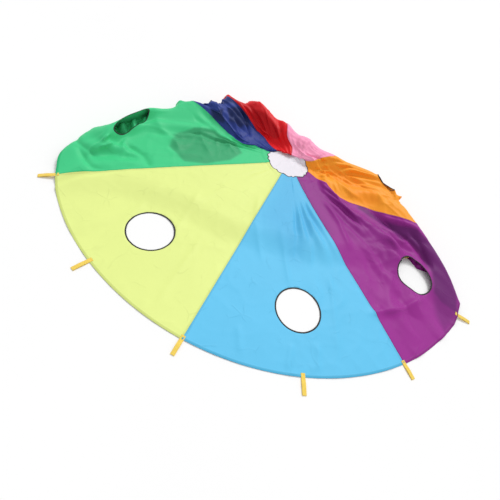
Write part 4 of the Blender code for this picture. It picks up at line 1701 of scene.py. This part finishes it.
@dataclass
class Canopy:
    """The cloth of the canopy: its gores, its centre, the bound holes and the handles' sewn ends."""

    lay: Lay
    crumple: Crumple
    net: Net
    effects: Effects
    body: str = "canopy"
    thickness: float = 0.0008
    seam_rise: float = 0.0009
    hem_rise: float = 0.0012
    binding_steps: int = 144
    binding_width: float = 0.0085
    binding_half: float = 0.0011
    centre_section: tuple[float, float, float, float] = (-0.0035, 0.0035, -0.0004, 0.0016)
    lowest_tape: float = 0.0001
    seam_half: float = 0.0095
    seam_fade: float = 0.005
    hem_fade: float = 0.0025
    pucker: float = 0.0006
    puckers_per_radian: float = 9.0
    pucker_seed: int = 21
    frame_step: float = 0.004
    white: tuple[float, float, float] = (0.85, 0.82, 0.88)
    shaded_white: tuple[float, float, float] = (0.80, 0.78, 0.84)

    def build(self) -> None:
        """Build and dress every piece of the canopy."""
        flat, faces, gores = self.net.build()
        radius = np.hypot(*flat.T)
        angle = np.degrees(np.arctan2(-flat[:, 0], -flat[:, 1])) % 360.0
        rim = self.lay.canopy_radius - radius
        within = (angle + self.net.gore_angle / 2) % self.net.gore_angle
        within = np.minimum(within, self.net.gore_angle - within)
        seam = radius * np.radians(within)
        place = self.crumple.surface(flat)
        normal = place_normals(place, faces)
        rise = self.seam_rise * smooth((self.seam_half - seam) / self.seam_fade)
        rise = rise * (radius > self.net.centre_edge)
        rise += self.hem_rise * smooth((self.net.hem_width - rim) / self.hem_fade)
        place = place + normal * rise[:, None]
        place[:, 2] = np.maximum(place[:, 2], self.thickness / 2)
        # Painted shade from the layers below the top layer, kept on each piece as its mask below
        below = self.painted_layer_shade(flat)
        for number, gore in enumerate(GORES):
            own = [face for face, g in zip(faces, gores) if g == number]
            label = f"gore_{gore.colour_name}"
            piece = self.sheet_piece(f"{label}_nylon", place, normal, own, flat, number)
            self.mask(piece, {"seam": seam, "rim": rim, "below": below})
            finish = NylonFinish(
                f"nylon_{gore.colour_name}", roughness=0.48, sheen=0.02, colour=gore.colour,
                doubled=gore.doubled,
            )
            self.dress(piece[0], finish.make(self.effects), label)
            binding = self.hole_binding(number, gore)
        own = [face for face, g in zip(faces, gores) if g == len(GORES)]
        piece = self.sheet_piece("centre_nylon", place, normal, own, flat, 0)
        self.mask(piece, {"seam": np.ones_like(seam), "rim": rim, "below": below})
        finish = NylonFinish(
            "nylon_white", roughness=0.55, sheen=0.2, colour=self.white, doubled=self.shaded_white
        )
        self.dress(piece[0], finish.make(self.effects), "centre")
        binding = self.centre_binding()

    def painted_layer_shade(self, flat: Array) -> Array:
        """How strongly painted shade darkens each flat place where another layer of cloth lies below it,
        from 0 to 1.

        Args:
            flat: Flat places.

        Returns:
            Strengths.
        """
        total = np.zeros(len(flat))
        for patch in PAINTED_SHADE_PATCHES:
            corners = np.array([direction(angle) * share for angle, share in patch.corners])
            corners = corners * self.lay.canopy_radius
            inside, nearest = np.zeros(len(flat), bool), np.full(len(flat), np.inf)
            for start, end in zip(corners, np.roll(corners, -1, axis=0)):
                run = end - start
                along = np.clip((flat - start) @ run / (run @ run), 0.0, 1.0)
                nearest = np.minimum(nearest, np.linalg.norm(flat - start - along[:, None] * run, axis=1))
                beside = (start[1] > flat[:, 1]) != (end[1] > flat[:, 1])
                crossing = start[0] + (flat[:, 1] - start[1]) * run[0] / (run[1] or 1e-9)
                inside ^= beside & (flat[:, 0] < crossing)
            depth = np.where(inside, nearest, -nearest) / patch.softness
            total = np.maximum(total, patch.strength * smooth(depth + 0.5))
        return total

    def sheet_piece(
        self, name: str, place: Array, normal: Array, faces: list, flat: Array, number: int
    ) -> tuple[bpy.types.Object, Array]:
        """A thin shell of one gore or the centre, its cut laid out along its own middle.

        Args:
            name: The piece's name.
            place: The laid places.
            normal: Their normals.
            faces: Its faces.
            flat: Flat places.
            number: Its gore's number, which gives its middle.

        Returns:
            The piece, and the place that each vertex stands on.
        """
        along = direction(number * self.net.gore_angle)
        across = np.array([-along[1], along[0]])
        uv = np.stack([flat @ across, flat @ along], -1)
        return thin_shell(name, place, normal, faces, self.thickness, uv)

    @staticmethod
    def mask(piece: tuple[bpy.types.Object, Array], masks: dict[str, Array]) -> None:
        """Keep masks on a thin shell."""
        made, stands_on = piece
        for name, values in masks.items():
            add_mask(made, name, values[stands_on])

    def dress(self, piece: bpy.types.Object, finish: bpy.types.Material, node: str) -> None:
        """Give a piece its material, its body and the node that it stands for.

        Args:
            piece: The piece.
            finish: Its material.
            node: The node.
        """
        piece.data.materials.append(finish)
        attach(piece, self.body)
        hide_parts(node)
        LOG.info("built %s", piece.name)

    def frames(self, flat: Array) -> tuple[Array, Array]:
        """Places and upward normals of the crumpled cloth at a few flat places.

        Args:
            flat: Flat places.

        Returns:
            Places and unit normals.
        """
        step = self.frame_step
        along_x = self.crumple.surface(flat + [step, 0.0]) - self.crumple.surface(flat - [step, 0.0])
        along_y = self.crumple.surface(flat + [0.0, step]) - self.crumple.surface(flat - [0.0, step])
        normal = np.cross(along_x, along_y)
        return self.crumple.surface(flat), normal / np.linalg.norm(normal, axis=1)[:, None]

    def tape(self, name: str, path: Callable, section: list[tuple[float, float]]) -> bpy.types.Object:
        """A closed tape along a ring on the cloth.

        Args:
            name: The piece's name.
            path: Gives flat places for ring angles in radians and a width outwards.
            section: Pairs of width and height round the tape's section, anticlockwise from outside.

        Returns:
            The tape.
        """
        turns = np.arange(self.binding_steps) * 2.0 * math.pi / self.binding_steps
        rings, uvs = [], []
        for width, height in section:
            flat = path(turns, width)
            place, normal = self.frames(flat)
            rings.append(place + normal * height)
            length = np.linalg.norm(flat - flat.mean(axis=0), axis=1).mean()
            uvs.append(np.stack([turns * length, np.full_like(turns, width + height)], -1))
        count, steps = len(section), self.binding_steps
        faces = []
        for i in range(count):
            for k in range(steps):
                a, b = i * steps + k, i * steps + (k + 1) % steps
                c, d = ((i + 1) % count) * steps + (k + 1) % steps, ((i + 1) % count) * steps + k
                faces.append((a, b, c, d))
        places = np.concatenate(rings)
        places[:, 2] = np.maximum(places[:, 2], self.lowest_tape)
        return link_mesh(name, places, faces, np.concatenate(uvs))

    @staticmethod
    def flat_section(inner: float, outer: float, low: float, high: float) -> list[tuple[float, float]]:
        """A flattened section with rounded edges."""
        middle, edge = (inner + outer) / 2, (high - low) / 2
        level = (high + low) / 2
        return [
            (inner, level), (inner + edge, low), (middle, low), (outer - edge, low),
            (outer, level), (outer - edge, high), (middle, high), (inner + edge, high),
        ]

    def hole_binding(self, number: int, gore: Gore) -> bpy.types.Object:
        """The black tape folded over the edge of a gore's toss hole.

        Args:
            number: The gore's number.
            gore: The gore.

        Returns:
            The tape.
        """
        centre = direction(number * self.net.gore_angle) * self.lay.hole_place

        def path(turns: Array, width: float) -> Array:
            """Flat places round the hole."""
            course = turns * self.puckers_per_radian
            pucker = noise(course, np.full_like(turns, 0.5), self.pucker_seed + number)
            radius = self.net.hole_radius + width + self.pucker * pucker
            return centre + np.stack([np.cos(turns), np.sin(turns)], -1) * radius[:, None]

        section = self.flat_section(0.0, self.binding_width, -self.binding_half, self.binding_half)
        made = self.tape(f"hole_binding_{gore.colour_name}_tape", path, section)
        finish = TapeFinish(f"binding_tape_{gore.colour_name}", roughness=0.6, sheen=0.1)
        self.dress(made, finish.make(self.effects), f"hole_binding_{gore.colour_name}")
        return made

    def centre_binding(self) -> bpy.types.Object:
        """The narrow black tape round the white centre.

        Returns:
            The tape.
        """

        def path(turns: Array, width: float) -> Array:
            """Flat places round the centre."""
            return np.stack([np.cos(turns), np.sin(turns)], -1) * (self.net.centre_edge + width)

        section = self.flat_section(*self.centre_section)
        made = self.tape("centre_binding_tape", path, section)
        finish = TapeFinish("binding_tape_centre", roughness=0.6, sheen=0.1)
        self.dress(made, finish.make(self.effects), "centre_binding")
        return made


@dataclass
class Handle:
    """A doubled loop of webbing that swings on the hem, and its sewn end on the canopy."""

    number: int
    canopy: Canopy
    joint: dict
    width: float = 0.021
    ply: float = 0.0011
    end_radius: float = 0.0024
    tab_length: float = 0.019
    tab_ply: float = 0.0006
    tab_inset: float = 0.001
    tab_sink: float = 0.0025
    tab_fade: float = 0.006
    tab_rows: int = 10
    tab_columns: int = 7
    full_reach_share: float = 0.9
    straight_steps: int = 15
    bend_steps: int = 9
    ply_gap: float = 0.0001
    sag: float = 0.0004
    least_bulge: float = 0.0016
    bulge_step: float = 0.0005
    bulge_sharpness: int = 4
    rib_inset: float = 0.003
    rib_height_share: float = 0.9
    middle_height_share: float = 0.85

    def build(self, webbing: bpy.types.Material) -> None:
        """Build the loop and its sewn end.

        Args:
            webbing: Their material.
        """
        node = f"handle_{self.number:02d}"
        frame, length = self.place(node)
        places, faces, uv = self.loop(length)
        made = link_mesh(f"{node}_webbing", places, faces, uv)
        made.data.transform(frame)
        made.data.materials.append(webbing)
        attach(made, node)
        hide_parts(node)
        tab = self.sewn_end(node)
        tab.data.materials.append(webbing)
        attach(tab, self.canopy.body)
        LOG.info("built %s", made.name)

    def place(self, node: str) -> tuple[Matrix, float]:
        """The loop's frame, X along the strap and Y along the hem, and the strap's length.

        Args:
            node: The handle's node.

        Returns:
            The two.
        """
        root, axis = Vector(self.joint["pos_m"]), Vector(self.joint["axis"]).normalized()
        solid = bpy.data.objects[node].data
        away = np.array([vertex.co[:] for vertex in solid.vertices]) - np.array(root)
        side = -np.array(axis)
        level = away - (away @ side)[:, None] * side
        reach = np.linalg.norm(level, axis=1)
        along = Vector(level[reach > self.full_reach_share * reach.max()].mean(axis=0)).normalized()
        side = Vector(side)
        frame = Matrix((along, side, along.cross(side))).transposed().to_4x4()
        return Matrix.Translation(root) @ frame, float(reach.max())

    def loop(self, length: float) -> tuple[Array, list[tuple[int, ...]], Array]:
        """The loop's mesh: its middle line out along the lower ply, round the end and back.

        Args:
            length: How far the loop reaches.

        Returns:
            Vertices, faces and flat places.
        """
        half, end = self.ply / 2, length - self.end_radius
        out = np.linspace(0.0, end, self.straight_steps)
        low = [(x, -half - self.ply_gap - self.sag * math.sin(math.pi * x / end)) for x in out]
        ring = self.end_radius - half
        turns = np.linspace(0.0, math.pi, self.bend_steps)
        bend = [(end + ring * math.sin(a), -ring * math.cos(a)) for a in turns]
        rise = self.least_bulge + self.bulge_step * (self.number % 3)
        high = []
        for x in np.linspace(end, 0.0, self.straight_steps):
            bulge = rise * math.sin(math.pi * x / end) ** self.bulge_sharpness
            high.append((x, half + self.ply_gap + (ring - half) * smooth(x / end) + bulge))
        line = np.array(low[:-1] + bend + high[1:])
        tangent = np.gradient(line, axis=0)
        tangent /= np.linalg.norm(tangent, axis=1)[:, None]
        normal = np.stack([-tangent[:, 1], tangent[:, 0]], -1)
        travelled = np.concatenate([[0.0], np.cumsum(np.linalg.norm(np.diff(line, axis=0), axis=1))])
        lip = self.width / 2
        rib, middle = self.rib_height_share * half, self.middle_height_share * half
        upper = [
            (-lip + 0.5 * half, half), (-lip + self.rib_inset, rib), (0.0, middle),
            (lip - self.rib_inset, rib), (lip - 0.5 * half, half),
        ]
        section = [(-lip, 0.0), *[(x, -z) for x, z in upper], (lip, 0.0), *reversed(upper)]
        places, uv = [], []
        for (x, z), (nx, nz), run in zip(line, normal, travelled):
            for across, height in section:
                places.append((x + nx * height, across, z + nz * height))
                uv.append((run, across + 4.0 * height))
        count, rings = len(section), len(line)
        faces = []
        for i in range(rings - 1):
            for k in range(count):
                j = (k + 1) % count
                faces.append((i * count + k, (i + 1) * count + k, (i + 1) * count + j, i * count + j))
        faces.append(tuple(range(count)))
        faces.append(tuple((rings - 1) * count + k for k in reversed(range(count))))
        return np.array(places), faces, np.array(uv)

    def sewn_end(self, node: str) -> bpy.types.Object:
        """The stitched end of the webbing on the hem.

        Args:
            node: The handle's node.

        Returns:
            The piece.
        """
        angle = (self.number - 1) * self.canopy.net.gore_angle / 2
        out = direction(angle)
        side = np.array([out[1], -out[0]])
        rim = self.canopy.lay.canopy_radius
        rows = np.linspace(-self.tab_length, -self.tab_inset, self.tab_rows)
        columns = np.linspace(-self.width / 2, self.width / 2, self.tab_columns)
        flat = np.array([out * (rim + r) + side * c for r in rows for c in columns])
        place, normal = self.canopy.frames(flat)
        lift = self.canopy.hem_rise + self.canopy.thickness / 2 + self.tab_ply / 2
        lift = lift * smooth(-(rows + self.tab_sink) / self.tab_fade)
        place = place + normal * np.repeat(lift, len(columns))[:, None]
        count = len(columns)
        faces = []
        for i in range(len(rows) - 1):
            for k in range(count - 1):
                a = i * count + k
                faces.append((a, a + count, a + count + 1, a + 1))
        uv = np.array([(r, c) for r in rows for c in columns])
        made, _ = thin_shell(f"{node}_sewn_end", place, normal, faces, self.tab_ply, uv)
        return made


@dataclass(frozen=True)
class Studio:
    """The pale floor, the soft lights and the camera at the photograph's angle."""

    lens: float = 23.04
    sensor_width: float = 36.0
    azimuth: float = 19.13
    elevation: float = 52.06
    roll: float = -25.23
    canopy_from_camera: tuple[float, float, float] = (0.2770, 0.6308, -2.3544)
    floor_size: float = 40.0
    paper: tuple[float, float, float] = (0.93, 0.93, 0.93)
    light_paper: tuple[float, float, float] = (0.95, 0.95, 0.95)
    paper_clouds: float = 0.8
    paper_roughness: float = 0.9
    paper_specular: float = 0.1
    sky: float = 0.66
    sun_from: tuple[float, float, float] = (0.55, 1.00, 1.25)
    sun_strength: float = 1.72
    sun_angle: float = 24.0

    def build(self, lay: Lay) -> None:
        """Make the floor, the lights and the camera."""
        self.camera(lay)
        self.floor()
        self.world()
        self.window_light()

    def camera(self, lay: Lay) -> None:
        """Place the camera: the canopy's middle is given in its own axes.

        Args:
            lay: How the canopy lies.
        """
        turn = (
            Matrix.Rotation(math.radians(self.roll), 3, "Z")
            @ Matrix.Rotation(math.radians(self.elevation - 90.0), 3, "X")
            @ Matrix.Rotation(math.radians(self.azimuth), 3, "Z")
        )
        data = bpy.data.cameras.new("camera")
        data.lens = self.lens
        data.sensor_width = self.sensor_width
        made = bpy.data.objects.new("camera", data)
        back = turn.transposed()
        place = -(back @ Vector(self.canopy_from_camera)) + Vector((lay.place_x, lay.place_y, 0.0))
        made.matrix_world = Matrix.Translation(place) @ back.to_4x4()
        bpy.context.scene.collection.objects.link(made)
        bpy.context.scene.camera = made

    def floor(self) -> None:
        """A large pale floor."""
        half = self.floor_size / 2
        corners = np.array([(-half, -half, 0.0), (half, -half, 0.0), (half, half, 0.0), (-half, half, 0.0)])
        made = link_mesh("floor", corners, [(0, 1, 2, 3)])
        finish = bpy.data.materials.new("floor_paper")
        finish.use_nodes = True
        nodes = Nodes(finish.node_tree)
        shader = finish.node_tree.nodes["Principled BSDF"]
        place = nodes.add("ShaderNodeTexCoord").outputs["Object"]
        clouds = nodes.clouds(place, self.paper_clouds, 2.0)
        colour = nodes.mix(clouds.outputs[0], (*self.paper, 1.0), (*self.light_paper, 1.0))
        finish.node_tree.links.new(colour, shader.inputs["Base Color"])
        shader.inputs["Roughness"].default_value = self.paper_roughness
        shader.inputs["Specular IOR Level"].default_value = self.paper_specular
        made.data.materials.append(finish)

    def world(self) -> None:
        """An even sky, white where the camera looks straight at it."""
        world = bpy.data.worlds.new("studio")
        world.use_nodes = True
        bpy.context.scene.world = world
        nodes = Nodes(world.node_tree)
        rays = nodes.add("ShaderNodeLightPath")
        seen = nodes.math("MAXIMUM", rays.outputs["Is Camera Ray"], rays.outputs["Is Glossy Ray"])
        seen = nodes.math("MAXIMUM", seen, rays.outputs["Is Transmission Ray"])
        strength = nodes.math("ADD", nodes.math("MULTIPLY", seen, 1.0 - self.sky), self.sky)
        background = world.node_tree.nodes["Background"]
        background.inputs["Color"].default_value = (1.0, 1.0, 1.0, 1.0)
        world.node_tree.links.new(strength, background.inputs["Strength"])

    def window_light(self) -> None:
        """One wide soft light from behind the heap."""
        data = bpy.data.lights.new("window_light", "SUN")
        data.energy = self.sun_strength
        data.angle = math.radians(self.sun_angle)
        made = bpy.data.objects.new("window_light", data)
        made.rotation_euler = Vector(self.sun_from).to_track_quat("Z", "Y").to_euler()
        bpy.context.scene.collection.objects.link(made)


def main() -> None:
    """Load the frame and build the parachute around it."""
    logging.basicConfig(level=logging.INFO, format="%(name)s: %(message)s")
    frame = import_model()
    bpy.context.scene.view_settings.view_transform = "Standard"
    lay = Lay()
    Studio().build(lay)
    effects = Effects()
    crumple = Crumple(lay)
    crumple.build_roof()
    canopy = Canopy(lay, crumple, Net(lay), effects)
    canopy.build()
    webbing = TapeFinish(
        "webbing_yellow", roughness=0.7, sheen=0.3, colour=(0.90, 0.60, 0.09),
        mottle_and_rib_highlight=(1.0, 0.76, 0.16), rib_pitch=0.0018, rib_height=0.00016,
    ).make(effects)
    for number, joint in enumerate(frame["joints"], start=1):
        Handle(number, canopy, joint).build(webbing)


if __name__ == "__main__":
    main()
